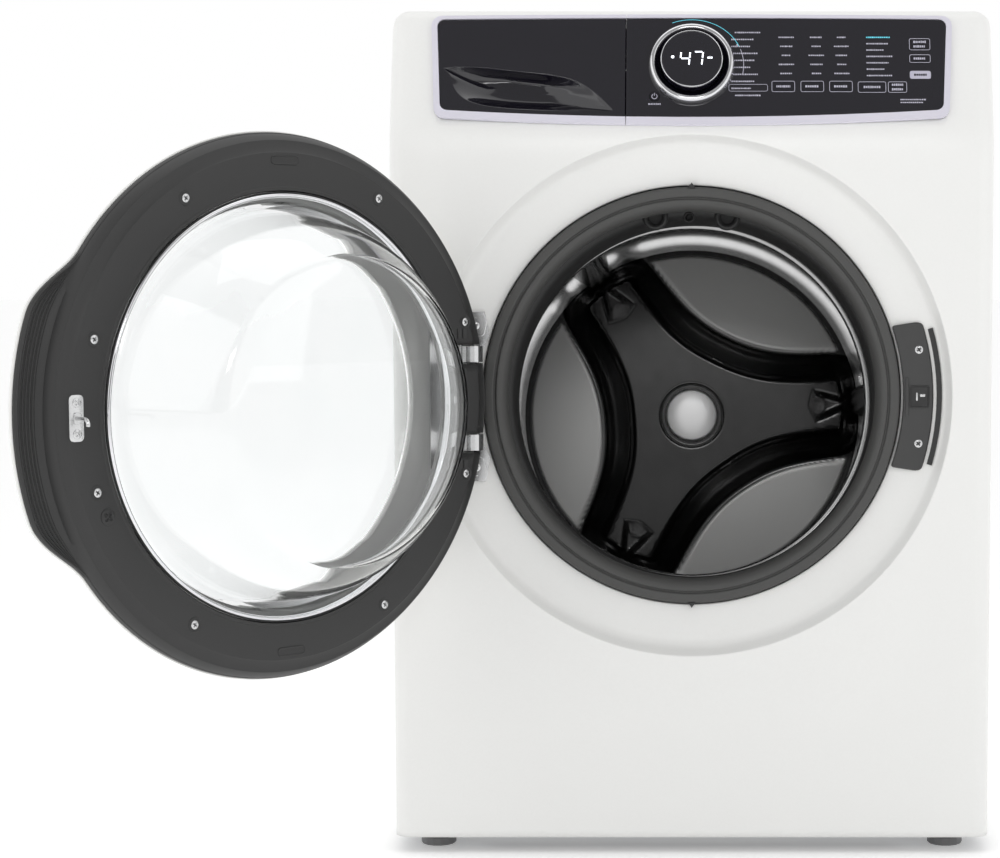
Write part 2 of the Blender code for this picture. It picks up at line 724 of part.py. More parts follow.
def scoop_outline(grow=0.0):
    """The finger scoop: a long leaf, higher at its left end and pointed low at its right."""
    outline = []
    steps = 20
    for i in range(steps):
        angle = math.tau * i / steps
        across = math.cos(angle)
        squared = math.copysign(abs(math.sin(angle)) ** 0.75, math.sin(angle))
        drop = -0.30 * across * SCOOP_HALF_HEIGHT
        height = squared * (SCOOP_HALF_HEIGHT * (0.86 - 0.20 * across) + grow)
        outline.append((SCOOP_CENTRE[0] + across * (SCOOP_HALF_LENGTH + grow),
                        SCOOP_CENTRE[1] + height + drop))
    return outline


def build_drawer():
    """The dispenser drawer: its front with a finger scoop, its trim and its tray."""
    start = CONSOLE_SPLIT_X - GAP
    front = flat_piece("drawer_front", [console_panel(start, -1)], FASCIA_THICKNESS,
                       FASCIA_GLOSS, parent=console,
                       location=(0, FASCIA_FRONT + FASCIA_THICKNESS / 2, 0))
    wall = 0.0020
    cup_depth = DRAWER_SCOOP_DEPTH + wall + CONSOLE_STANDOFF + 0.0010
    cup = flat_piece("scoop_cup", [scoop_outline(wall)], cup_depth, FASCIA_GLOSS,
                     parent=console,
                     location=(0, DRAWER_SCOOP_DEPTH + wall - cup_depth / 2, 0))
    join(front, cup)
    pocket = flat_piece("scoop_pocket", [scoop_outline()], DRAWER_SCOOP_DEPTH + 0.02,
                        FASCIA_GLOSS, parent=console,
                        location=(0, DRAWER_SCOOP_DEPTH / 2 - 0.01, 0))
    cut(front, pocket)
    depth = TRIM_PROUD + FASCIA_THICKNESS
    flat_piece("drawer_trim", [trim_outline(start, -1)], depth, SATIN_CHROME,
               parent=console, location=(0, FASCIA_BACK - depth / 2, 0))
    build_tray()


def tray_front_y(z):
    """Where the tray's sloping front lies at a height, behind the scoop."""
    behind = (DRAWER_SCOOP_DEPTH + 0.0060) / math.cos(CONSOLE_LEAN)
    return CONSOLE_Y + (z - CONSOLE_BOTTOM_Z) * LEAN + behind


def build_tray():
    """The three-compartment tray and the fixed housing that it slides in."""
    top = TRAY_BOTTOM_Z + TRAY_HEIGHT
    rear = tray_front_y(top) + TRAY_LENGTH
    side = [(tray_front_y(TRAY_BOTTOM_Z), TRAY_BOTTOM_Z), (rear, TRAY_BOTTOM_Z), (rear, top),
            (tray_front_y(top), top)]
    tray = flat_piece("dispenser_tray", [side], TRAY_WIDTH, WHITE_PLASTIC,
                      location=(TRAY_CENTRE_X, 0, 0), rotation=FACING_SIDE)
    inner_width = TRAY_WIDTH - 4 * TRAY_WALL
    shares = (0.40, 0.30, 0.30)
    pocket_front = tray_front_y(top) + TRAY_WALL
    pocket_length = rear - TRAY_WALL - pocket_front
    left = TRAY_CENTRE_X - TRAY_WIDTH / 2 + TRAY_WALL
    for number, share in enumerate(shares):
        width = inner_width * share
        cut(tray, block(f"tray_pocket_{number}", (width, pocket_length, TRAY_HEIGHT),
                        WHITE_PLASTIC, location=(left + width / 2,
                                                 pocket_front + pocket_length / 2,
                                                 top - TRAY_HEIGHT / 2 + TRAY_WALL)))
        left += width + TRAY_WALL
    clear = HOUSING_CLEARANCE
    wall = TRAY_WALL
    mouth = tray_front_y(top) + 0.012
    length = rear + 0.010 - mouth
    size = (TRAY_WIDTH + 2 * (clear + wall), length, TRAY_HEIGHT + 2 * (clear + wall))
    middle = (TRAY_CENTRE_X, mouth + length / 2, TRAY_BOTTOM_Z + TRAY_HEIGHT / 2)
    housing = block("dispenser_housing", size, TUB_PLASTIC, location=middle)
    cut(housing, block("housing_hollow", (size[0] - 2 * wall, length, size[2] - 2 * wall),
                       TUB_PLASTIC, location=(middle[0], middle[1] - wall, middle[2])))


# ---------------------------------------------------------------- door
def door_edge(angle):
    """The door's outer radius at an angle: a circle with the handle bulge at the right."""
    off = abs((angle + math.pi) % math.tau - math.pi)
    blend = (HANDLE_HALF_ANGLE + HANDLE_BLEND_ANGLE - off) / HANDLE_BLEND_ANGLE
    return DOOR_RADIUS + HANDLE_REACH * smoothstep(blend)


def door_row(radius_at, depth_at, columns=DOOR_STEPS):
    """A ring of points round the door, its centre on the door's own origin."""
    row = []
    for j in range(columns):
        angle = math.tau * j / columns
        bulge = (door_edge(angle) - DOOR_RADIUS) / HANDLE_REACH
        radius = radius_at(door_edge(angle))
        row.append((radius * math.cos(angle), depth_at(bulge), radius * math.sin(angle)))
    return row


def fixed(value):
    """A size that is the same all round."""
    return lambda _: value


def build_door_shells():
    """The white outer cover and the dark inner frame."""
    front = DOOR_FRONT_DEPTH
    rim = DOOR_RIM_DEPTH
    cover_rows = [
        door_row(lambda r: r, fixed(rim - 0.0004)),
        door_row(lambda r: r, fixed(rim - 0.0050)),
        door_row(lambda r: r - 0.0090, fixed(rim - 0.0150)),
        door_row(lambda r: r - 0.0260, fixed(rim - 0.0255)),
        door_row(lambda r: DOOR_RADIUS - 0.0480, fixed(front + 0.0020)),
        door_row(fixed(WINDOW_RADIUS + 0.006), fixed(front)),
        door_row(fixed(WINDOW_RADIUS + 0.002), fixed(front + 0.0120)),
    ]
    sheet_from_rows("door_outer_cover", cover_rows, True, DOOR_WALL, WHITE_PLASTIC,
                    parent=door_home)
    face = DOOR_FACE_DEPTH
    frame_rows = [
        door_row(fixed(GLASS_RADIUS + 0.0010), fixed(face - 0.0080)),
        door_row(fixed(GLASS_RADIUS + 0.0030), fixed(face)),
        door_row(fixed(DOOR_RADIUS - 0.0210), fixed(face)),
        door_row(fixed(DOOR_RADIUS - 0.0100), fixed(face - 0.0045)),
        door_row(fixed(DOOR_RADIUS - 0.0020), lambda b: -0.0010 - 0.0030 * b),
        door_row(lambda r: r, lambda b: -0.0055 - 0.0015 * b),
        door_row(lambda r: r, fixed(rim)),
    ]
    frame = sheet_from_rows("door_inner_frame", frame_rows, True, DOOR_WALL,
                            DARK_PLASTIC, parent=door_home)
    notch_end = -(GLASS_RADIUS + 0.0020)
    notch_width = DOOR_RADIUS + 0.02 + notch_end
    for side in (-1, 1):
        cut(frame, block(f"hinge_notch_{side}",
                         (notch_width, 0.08, HINGE_ARM_HEIGHT + 0.004), DARK_PLASTIC,
                         parent=door_home,
                         location=(notch_end - notch_width / 2, 0, side * HINGE_ARM_Z)))


def build_door_glass():
    """The deep clear bowl, its bright ring and the outer window."""
    flange = DOOR_FACE_DEPTH - 0.0080
    reach = GLASS_DEPTH
    outer = [(GLASS_RADIUS - 0.0012, flange), (GLASS_RADIUS - 0.0012, flange + 0.0040),
             (0.2150, flange + 0.0060), (0.2050, 0.034), (0.1920, 0.070),
             (0.1700, reach - 0.028), (0.1400, reach - 0.010), (0.0, reach)]
    inner = [(0.0, reach - GLASS_WALL), (0.1370, reach - GLASS_WALL - 0.0100),
             (0.1662, reach - GLASS_WALL - 0.0275), (0.1880, 0.0690), (0.2010, 0.0330),
             (0.2110, flange + 0.0040), (0.2180, flange)]
    turned_piece("door_glass_bowl", inner + outer, CLEAR_GLASS, steps=RUBBER_STEPS,
                 parent=door_home)
    ring = [(GLASS_RADIUS - 0.0050, flange + 0.0054), (GLASS_RADIUS, flange + 0.0054),
            (GLASS_RADIUS - 0.0012, flange + 0.0112), (GLASS_RADIUS - 0.0050, flange + 0.0088)]
    turned_piece("door_glass_ring", ring, SATIN_CHROME, steps=DOOR_STEPS, parent=door_home)
    face = DOOR_FRONT_DEPTH + 0.0060
    pane = [(0.0, face - 0.0050), (WINDOW_RADIUS * 0.6, face - 0.0032),
            (WINDOW_RADIUS - 0.001, face), (WINDOW_RADIUS - 0.001, face + 0.0030),
            (WINDOW_RADIUS * 0.6, face - 0.0002), (0.0, face - 0.0020)]
    turned_piece("door_outer_window", pane, CLEAR_GLASS, steps=DOOR_STEPS, parent=door_home)


def build_latch():
    """The latch strike on the door, and the lock with its cover on the cabinet."""
    face = DOOR_FACE_DEPTH + GAP
    plate = flat_piece("door_latch_hook", [plate_outline((0, 0), (0.016, 0.046), 0.003)],
                       0.0020, GALVANISED, parent=door_home,
                       location=(LATCH_RADIUS, face + 0.0010, 0))
    hook_side = [(face, -0.0035), (face + 0.024, -0.0035), (face + 0.024, 0.0035),
                 (face + 0.018, 0.0035), (face + 0.018, 0.0005), (face, 0.0005)]
    hook = flat_piece("hook_arm", [hook_side], 0.0040, GALVANISED, parent=door_home,
                      location=(LATCH_RADIUS, 0, 0), rotation=FACING_SIDE)
    join(plate, hook)
    half_angle = math.radians(19.5)
    cover_front = DOOR_FACE_DEPTH + GAP + 0.0028
    thickness = 0.0030
    outline = rounded(sector(GASKET_RADIUS + 0.0030, GASKET_RADIUS + 0.0380, -half_angle,
                             half_angle), 0.004, 3, only=(0, 10, 11, 21))
    hole = rectangle((LATCH_RADIUS, 0.0), (0.0210, 0.0240))
    flat_piece("lock_cover_plate", [outline, hole], thickness, DARK_PLASTIC,
               location=(0, FRONT_Y + cover_front + thickness / 2, DOOR_Z))
    lock_size = (0.046, 0.030, 0.100)
    lock_y = FRONT_Y + RECESS_DEPTH + 0.0060 + lock_size[1] / 2
    lock = block("door_lock", lock_size, DARK_PLASTIC,
                 location=(LATCH_RADIUS + 0.006, lock_y, DOOR_Z))
    cut(lock, block("lock_pocket", (0.016, 0.030, 0.020), DARK_PLASTIC,
                    location=(LATCH_RADIUS, lock_y - 0.008, DOOR_Z)))
    strip_angle = math.radians(16.0)
    flat_piece("finger_recess_strip",
               [sector(RECESS_RADIUS - 0.0160, RECESS_RADIUS - 0.0100, -strip_angle,
                       strip_angle, 12)], 0.0012, DARK_PLASTIC,
               location=(0, FRONT_Y + 0.0160, DOOR_Z))


def build_hinge():
    """Gooseneck hinge arms on the cabinet, and the leaf and pin in the door."""
    ear_y = FRONT_Y + 0.0178
    ear_sheet = 0.0016
    plate = [(-0.262, -0.060), (-0.262, 0.060), (-0.257, HINGE_EAR_Z), (-0.236, HINGE_EAR_Z),
             (-0.231, 0.070), (-0.243, 0.045), (-0.243, -0.045), (-0.231, -0.070),
             (-0.236, -HINGE_EAR_Z), (-0.257, -HINGE_EAR_Z)]
    bracket = flat_piece("hinge_bracket", [plate], ear_sheet, GALVANISED,
                         location=(0, ear_y + ear_sheet / 2, DOOR_Z))
    pin_x, pin_y = HINGE_X, FRONT_Y + HINGE_DEPTH
    centre_x = pin_x + HINGE_NECK_RADIUS
    neck = arc((centre_x, pin_y), HINGE_NECK_RADIUS, math.pi, math.tau, 8)
    neck = neck[1:] + [(centre_x + HINGE_NECK_RADIUS, pin_y + 0.0100),
                       (centre_x + HINGE_NECK_RADIUS - 0.0030, ear_y + 0.0006)]
    neck_outline = walled(neck, HINGE_ARM_THICKNESS)
    for side in (-1, 1):
        level = DOOR_Z + side * HINGE_ARM_Z
        join(bracket, flat_piece(f"gooseneck_{side}", [neck_outline], HINGE_ARM_HEIGHT,
                                 GALVANISED, location=(0, 0, level), rotation=FACING_UP))
        join(bracket, round_bar(f"barrel_{side}", HINGE_PIN_RADIUS + 0.0026,
                                HINGE_ARM_HEIGHT - 0.001, GALVANISED,
                                location=(pin_x, pin_y, level)))
        cut(bracket, round_bar(f"barrel_bore_{side}", HINGE_PIN_RADIUS + 0.0003, 0.05,
                               GALVANISED, location=(pin_x, pin_y, level)))
    pin_length = 2 * (HINGE_ARM_Z + 0.026)
    round_bar("hinge_pin", HINGE_PIN_RADIUS, pin_length, STAINLESS, parent=door_hinge)
    leaf_y = -(HINGE_NECK_RADIUS + 0.0025)
    leaf = block("hinge_leaf", (0.028, 0.0020, 0.160), GALVANISED, parent=door_hinge,
                 location=(0.0200, leaf_y, 0))
    knuckle_top = HINGE_PIN_RADIUS + 0.0026
    outer_z = HINGE_ARM_Z + HINGE_ARM_HEIGHT / 2 + 0.0095
    spans = ((0.0, 2 * (HINGE_ARM_Z - HINGE_ARM_HEIGHT / 2 - 0.002)),
             (outer_z, 0.0120), (-outer_z, 0.0120))
    knuckle = [(-knuckle_top, knuckle_top), (-knuckle_top, -knuckle_top),
               (KNUCKLE_HEEL, leaf_y), (KNUCKLE_REACH, leaf_y), (KNUCKLE_REACH, knuckle_top)]
    for number, (middle, height) in enumerate(spans):
        join(leaf, flat_piece(f"knuckle_{number}", [knuckle], height, GALVANISED,
                              parent=door_hinge, location=(0, 0, middle),
                              rotation=FACING_UP))
    cut(leaf, round_bar("leaf_bore", HINGE_PIN_RADIUS + 0.0003, 0.4, GALVANISED,
                        parent=door_hinge))


# ---------------------------------------------------------------- gasket, tub and drum
def build_gasket():
    """The grey door seal, whose bellows ends on the tilted tub."""
    back = RECESS_DEPTH + (TUB_MOUTH - TUB_LIP) * math.cos(TUB_TILT) - 2 * GAP
    guard = DRUM_MOUTH_RADIUS + 0.0005
    path = [(GASKET_RADIUS, 0.0245), (GASKET_RADIUS - 0.0040, 0.0185),
            (GASKET_RADIUS - 0.0150, 0.0195), (GASKET_MOUTH_RADIUS + 0.0030, 0.0290),
            (GASKET_MOUTH_RADIUS, 0.0370), (GASKET_MOUTH_RADIUS + 0.0050, 0.0500),
            (GASKET_FOLD_RADIUS, 0.0620), (GASKET_FOLD_RADIUS, 0.0720), (guard, 0.0900),
            (guard, back - 0.018), (TUB_NECK_RADIUS, back)]
    profile = walled(path, -GASKET_WALL)
    columns = RUBBER_STEPS
    rows = []
    for radius, depth in profile:
        share = smoothstep((depth - 0.030) / (back - 0.030))
        tilt = TUB_TILT * share
        sink = math.sin(TUB_TILT) * (depth - RECESS_DEPTH) * share
        rows.append([(radius * math.cos(math.tau * j / columns),
                      depth + math.sin(tilt) * radius * math.sin(math.tau * j / columns),
                      radius * math.sin(math.tau * j / columns) - sink)
                     for j in range(columns)])
    count = len(rows)
    faces = []
    for i in range(count):
        below = (i + 1) % count
        for j in range(columns):
            k = (j + 1) % columns
            faces.append((i * columns + j, i * columns + k, below * columns + k,
                          below * columns + j))
    mesh = bpy.data.meshes.new("door_gasket")
    mesh.from_pydata([point for row in rows for point in row], [], faces)
    shape = bmesh.new()
    shape.from_mesh(mesh)
    bmesh.ops.recalc_face_normals(shape, faces=shape.faces)
    shape.to_mesh(mesh)
    shape.free()
    add_piece("door_gasket", smooth(mesh), GASKET_RUBBER,
              location=(0, FRONT_Y, DOOR_Z))


def build_tub():
    """The plastic tub in two halves, and the concrete weight under its front."""
    mouth = TUB_MOUTH
    neck = TUB_NECK_RADIUS
    front_path = [(neck, mouth - TUB_LIP), (neck, mouth + 0.006), (neck + 0.0125, mouth + 0.008),
                  (TUB_RADIUS - 0.020, mouth + 0.014), (TUB_RADIUS, mouth + 0.034),
                  (TUB_RADIUS, TUB_SPLIT - GAP)]
    turned_piece("tub_front", walled(front_path, TUB_WALL), TUB_PLASTIC, steps=TUB_STEPS, parent=tub)
    rear_path = [(TUB_RADIUS, TUB_SPLIT), (TUB_RADIUS, TUB_BACK - 0.030),
                 (TUB_RADIUS - 0.024, TUB_BACK), (0.070, TUB_BACK + 0.004),
                 (0.050, TUB_BACK + 0.050), (SHAFT_RADIUS + 0.0010, TUB_BACK + 0.050)]
    turned_piece("tub_rear", walled(rear_path, TUB_WALL), TUB_PLASTIC, steps=TUB_STEPS, parent=tub)
    weight = sector(TUB_RADIUS + 0.003, TUB_RADIUS + 0.043, math.radians(215),
                    math.radians(325), 12)
    flat_piece("counterweight", [weight], 0.090, CONCRETE, parent=tub,
               location=(0, 0.215, 0))


def star_relief(x, z):
    """Height of the drum back's three ribs at a point of its plane."""
    angle = math.atan2(z, x) - STAR_PHASE
    off = (angle + math.pi / 3) % (math.tau / 3) - math.pi / 3
    radius = math.hypot(x, z)
    across = abs(radius * math.sin(off))
    width = 0.034 + 0.055 * max(0.0, 1.0 - radius / 0.12) ** 2
    return STAR_HEIGHT * smoothstep((width + 0.022 - across) / 0.044)


def build_drum():
    """The steel drum: wrapper, ribbed back, three lifters, hub cap, spider and pulley."""
    wrapper = [(DRUM_MOUTH_RADIUS, DRUM_FRONT + 0.006), (DRUM_MOUTH_RADIUS + 0.002, DRUM_FRONT),
               (DRUM_RADIUS - 0.018, DRUM_FRONT + 0.004), (DRUM_RADIUS, DRUM_FRONT + 0.024),
               (DRUM_RADIUS, DRUM_BACK)]
    turned_piece("drum_wrapper", walled(wrapper, DRUM_SHEET), STAINLESS, steps=DISH_STEPS, parent=tub)
    columns = RUBBER_STEPS
    radii = (DRUM_RADIUS - 0.0035, 0.245, 0.210, 0.165, 0.120, 0.080, 0.045)
    rows = []
    for radius in radii:
        row = []
        for j in range(columns):
            x = radius * math.cos(math.tau * j / columns)
            z = radius * math.sin(math.tau * j / columns)
            level = DRUM_BACK - 0.004
            if radius < DRUM_RADIUS - 0.010:
                level -= star_relief(x, z)
            row.append((x, level, z))
        rows.append(row)
    middle = (0.0, DRUM_BACK - 0.004 - STAR_HEIGHT, 0.0)
    sheet_from_rows("drum_back", rows, True, DRUM_SHEET, STAINLESS, parent=tub, centre=middle)
    cap_front = DRUM_BACK - 0.004 - STAR_HEIGHT - GAP
    cap = [(0.0, cap_front - 0.008), (HUB_CAP_RADIUS * 0.6, cap_front - 0.0072),
           (HUB_CAP_RADIUS - 0.002, cap_front - 0.003), (HUB_CAP_RADIUS, cap_front),
           (0.0, cap_front)]
    turned_piece("drum_hub_cap", cap, STAINLESS, parent=tub)
    build_lifters()
    build_spider()


def build_lifters():
    """Three hollow-looking ridges along the drum wall, in line with the back's ribs."""
    base = DRUM_RADIUS - DRUM_SHEET - 0.0040
    outline = [(-0.038, base - 0.0010), (0.038, base - 0.0010), (0.030, base - 0.012),
               (0.014, base - LIFTER_HEIGHT), (-0.014, base - LIFTER_HEIGHT),
               (-0.030, base - 0.012)]
    outline = rounded(outline, 0.006, 2, only=(2, 3, 4, 5))
    middle = DRUM_BACK - 0.008 - STAR_HEIGHT - LIFTER_LENGTH / 2
    for number in range(3):
        angle = STAR_PHASE + math.tau * number / 3 - math.pi / 2
        turned = [(x * math.cos(angle) - y * math.sin(angle),
                   x * math.sin(angle) + y * math.cos(angle)) for x, y in outline]
        flat_piece(f"drum_lifter_{number + 1}", [turned], LIFTER_LENGTH, STAINLESS,
                   parent=tub, location=(0, middle, 0))


def build_spider():
    """The cast cross behind the drum with its shaft, and the big pulley."""
    arm_depth = 0.020
    front = DRUM_BACK + 0.004
    hub = turned_piece("drum_spider", [(0.0, front), (0.045, front),
                                       (0.040, front + arm_depth + 0.006),
                                       (SHAFT_RADIUS, front + arm_depth + 0.006),
                                       (SHAFT_RADIUS, PULLEY_DEPTH + PULLEY_WIDTH + 0.004),
                                       (0.0, PULLEY_DEPTH + PULLEY_WIDTH + 0.004)],
                       CAST_ALUMINIUM, steps=24, parent=tub)
    for number in range(3):
        angle = STAR_PHASE + math.tau * number / 3
        reach = DRUM_RADIUS - 0.012
        join(hub, block(f"spider_arm_{number}", (reach, arm_depth, 0.032), CAST_ALUMINIUM,
                        parent=tub, location=(math.cos(angle) * reach / 2,
                                              front + arm_depth / 2 + 0.001,
                                              math.sin(angle) * reach / 2),
                        rotation=(0, -angle, 0)))
    half = PULLEY_WIDTH / 2
    middle = PULLEY_DEPTH + half
    bore = SHAFT_RADIUS + GAP
    pulley = [(bore, middle - half), (0.030, middle - 0.003),
              (PULLEY_RADIUS - 0.012, middle - 0.003), (PULLEY_RADIUS - 0.008, middle - half),
              (PULLEY_RADIUS, middle - half), (PULLEY_RADIUS, middle + half),
              (PULLEY_RADIUS - 0.010, middle + half), (PULLEY_RADIUS - 0.012, middle + 0.003),
              (0.030, middle + 0.003), (bore, middle + half)]
    turned_piece("drum_pulley", pulley, CAST_ALUMINIUM, steps=TUB_STEPS, parent=tub)


def belt_loop(grow):
    """A taut loop round both pulleys, as seen along the drum's axis."""
    big = PULLEY_RADIUS + grow
    small = MOTOR_PULLEY_RADIUS + grow
    lean = math.asin((big - small) / MOTOR_DROP)
    upper = arc((0, 0), big, -lean, math.pi + lean, 24)
    lower = arc((0, -MOTOR_DROP), small, math.pi + lean, math.tau - lean, 8)
    return upper + lower


def build_drive():
    """The motor under the tub, its pulley and the belt."""
    start = PULLEY_DEPTH - 0.012 - MOTOR_LENGTH
    end = start + MOTOR_LENGTH
    body = [(0.0, start), (MOTOR_RADIUS - 0.010, start), (MOTOR_RADIUS, start + 0.012),
            (MOTOR_RADIUS, end - 0.012), (MOTOR_RADIUS - 0.010, end), (0.0, end)]
    turned_piece("drive_motor", body, MOTOR_STEEL, steps=28, parent=tub,
                 location=(0, 0, -MOTOR_DROP))
    pulley = [(0.0, end + 0.001), (0.006, end + 0.001), (0.006, PULLEY_DEPTH),
              (MOTOR_PULLEY_RADIUS, PULLEY_DEPTH),
              (MOTOR_PULLEY_RADIUS, PULLEY_DEPTH + PULLEY_WIDTH), (0.0, PULLEY_DEPTH + PULLEY_WIDTH)]
    turned_piece("motor_pulley", pulley, MOTOR_STEEL, steps=20, parent=tub,
                 location=(0, 0, -MOTOR_DROP))
    clear = 0.0012
    flat_piece("drive_belt", [belt_loop(clear + BELT_THICKNESS), belt_loop(clear)], 0.012,
               BELT_RUBBER, parent=tub, location=(0, PULLEY_DEPTH + PULLEY_WIDTH / 2, 0))


def build_suspension():
    """Two friction dampers between the tub and the base, and the drain pump."""
    for side, side_name in ((-1, "left"), (1, "right")):
        foot = Vector((side * 0.290, 0.020, RAIL_RISE + RAIL_HEIGHT + 0.004))
        head = Vector((side * 0.243, 0.020, 0.262))
        axis = head - foot
        turn = axis.to_track_quat("Z", "Y").to_euler()
        round_bar(f"damper_{side_name}", 0.013, axis.length, GREY_PLASTIC,
                  location=(foot + head) / 2, rotation=turn, steps=16)
    pump = [(0.0, 0.0), (0.030, 0.0), (0.030, 0.050), (0.046, 0.052), (0.046, 0.090),
            (0.034, 0.094), (0.034, 0.150), (0.0, 0.150)]
    turned_piece("drain_pump", pump, GREY_PLASTIC, steps=24,
                 location=(0.190, FRONT_Y + 0.030, 0.058))


# ---------------------------------------------------------------- assembly
clear_scene()
parts = make_collection("front_load_washer")
cutters = make_collection("cutters")
console = empty("console_axes", location=(0, CONSOLE_Y, CONSOLE_BOTTOM_Z),
                rotation=(-CONSOLE_LEAN, 0, 0))
door_hinge = empty("door_hinge_axis", location=(HINGE_X, FRONT_Y + HINGE_DEPTH, DOOR_Z),
                   rotation=(0, 0, -DOOR_OPEN_ANGLE))
door_home = empty("door_centre", parent=door_hinge, location=(-HINGE_X, -HINGE_DEPTH, 0))
tub = empty("tub_axes", location=(0, FRONT_Y + RECESS_DEPTH, DOOR_Z),
            rotation=(-TUB_TILT, 0, 0))

build_base()
build_feet()
build_front_panel()
build_side_panels()
build_top_panel()
build_rear()
build_inlet_valve()
build_console()
build_dial()
build_drawer()
build_door_shells()
build_door_glass()
build_latch()
build_hinge()
build_gasket()
build_tub()
build_drum()
build_drive()
build_suspension()
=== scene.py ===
"""Front load washing machine: the visual model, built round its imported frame.

Every sub-assembly is a class that holds its own sizes, builds its surfaces with
numpy and dresses them. Lengths are in metres, and every piece lies in the frame's
own axes: x to the right, y into the machine and z up.
"""
import json
import logging
import math
from dataclasses import dataclass, field
from enum import Enum
from typing import Dict, List, Optional, Sequence, Tuple

import bmesh
import bpy
import numpy as np
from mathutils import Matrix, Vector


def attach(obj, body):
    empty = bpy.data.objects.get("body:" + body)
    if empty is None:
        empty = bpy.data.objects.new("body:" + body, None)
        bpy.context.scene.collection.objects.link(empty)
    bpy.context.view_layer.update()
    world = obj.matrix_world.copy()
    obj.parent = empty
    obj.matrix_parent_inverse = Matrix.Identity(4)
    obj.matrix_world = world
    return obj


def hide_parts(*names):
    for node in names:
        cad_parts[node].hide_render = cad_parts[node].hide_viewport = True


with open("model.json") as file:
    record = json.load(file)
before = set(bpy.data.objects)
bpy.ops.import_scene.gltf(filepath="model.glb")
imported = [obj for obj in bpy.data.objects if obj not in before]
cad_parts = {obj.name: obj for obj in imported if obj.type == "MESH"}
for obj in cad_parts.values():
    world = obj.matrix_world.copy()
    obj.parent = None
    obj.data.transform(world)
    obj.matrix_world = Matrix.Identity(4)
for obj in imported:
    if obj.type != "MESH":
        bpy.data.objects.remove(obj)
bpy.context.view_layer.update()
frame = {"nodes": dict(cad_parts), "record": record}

LOG = logging.getLogger("washer")
MM = 0.001
Array = np.ndarray
Point = Tuple[float, float, float]
Profile = Sequence[Sequence[float]]

DOOR_CENTRE: Point = (0.0, -0.360, 0.512)
DOOR_SWING = math.radians(-134.0)
CONSOLE_LEAN = math.radians(21.0)
TUB_TILT = math.radians(6.0)
STAR_PHASE = math.radians(4.5)
HOLES_ROUND_DRUM = 84.0


# ---------------------------------------------------------------- axes and surfaces
@dataclass(frozen=True)
class Axes:
    """A sub-assembly's own axes: where they start and how they are turned."""

    origin: Point
    across: Point = (1.0, 0.0, 0.0)
    inward: Point = (0.0, 1.0, 0.0)
    up: Point = (0.0, 0.0, 1.0)

    def place(self, points: Array) -> Array:
        """Turns local points and carries them to the frame: origin plus each share of an axis."""
        return np.asarray(points, float) @ np.array([self.across, self.inward, self.up]) \
            + np.array(self.origin)


CABINET_AXES = Axes(DOOR_CENTRE)
CONSOLE_AXES = Axes(
    (0.0, -0.360 + 0.013 * math.tan(CONSOLE_LEAN), 0.818),
    inward=(0.0, math.cos(CONSOLE_LEAN), -math.sin(CONSOLE_LEAN)),
    up=(0.0, math.sin(CONSOLE_LEAN), math.cos(CONSOLE_LEAN)))
TUB_AXES = Axes(
    (0.0, -0.334, 0.512),
    inward=(0.0, math.cos(TUB_TILT), -math.sin(TUB_TILT)),
    up=(0.0, math.sin(TUB_TILT), math.cos(TUB_TILT)))


def opened_door_axes() -> Axes:
    """The door's axes as it rests, swung open about its hinge pin.

    The closed door's origin turns about the pin by the door's swing, and so do its axes.

    Returns:
        The axes of the opened door.
    """
    pin = np.array(joint_place("door_swing"))
    c, s = math.cos(DOOR_SWING), math.sin(DOOR_SWING)
    away = np.array(DOOR_CENTRE) - pin
    origin = pin + np.array([c * away[0] - s * away[1], s * away[0] + c * away[1], away[2]])
    return Axes(tuple(origin), across=(c, s, 0.0), inward=(-s, c, 0.0))


def joint_place(name: str) -> Point:
    """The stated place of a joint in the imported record."""
    return next(j["pos_m"] for j in frame["record"]["behaviour"]["joints"] if j["name"] == name)


@dataclass
class Surface:
    """Points and the faces between them; paint is each face's material number, mask a tone per point."""

    points: Array
    faces: List[Sequence[int]]
    paint: Optional[List[int]] = None
    mask: Optional[Array] = None

    def placed(self, axes: Axes) -> "Surface":
        """The same surface in the frame's axes."""
        return Surface(axes.place(self.points), self.faces, self.paint, self.mask)

    def flipped(self) -> "Surface":
        """The same surface with its faces turned over."""
        return Surface(self.points, [list(f)[::-1] for f in self.faces], self.paint, self.mask)


def joined(parts: Sequence[Surface]) -> Surface:
    """Several surfaces as one, each one's face numbers moved past those before it.

    Args:
        parts: the surfaces, which keep their order.

    Returns:
        One surface with every part's points, faces and material numbers.
    """
    starts = np.cumsum([0] + [len(p.points) for p in parts])
    faces = [[i + int(s) for i in face] for p, s in zip(parts, starts) for face in p.faces]
    paint = [n for p in parts for n in (p.paint or [0] * len(p.faces))]
    return Surface(np.vstack([p.points for p in parts]), faces, paint)


def grid(points: Array, wrap_rows: bool = False, wrap_columns: bool = False) -> Surface:
    """Quads between neighbouring points of a grid.

    Args:
        points: an array of rows by columns by three.
        wrap_rows: whether the last row meets the first.
        wrap_columns: whether the last column meets the first.

    Returns:
        The grid as a surface.
    """
    rows, columns = points.shape[:2]
    number = np.arange(rows * columns).reshape(rows, columns)
    down = np.roll(number, -1, 0)
    right = np.roll(number, -1, 1)
    corner = np.roll(down, -1, 1)
    quads = np.stack([number, right, corner, down], -1)
    quads = quads[: rows if wrap_rows else rows - 1, : columns if wrap_columns else columns - 1]
    return Surface(points.reshape(-1, 3), quads.reshape(-1, 4).tolist())


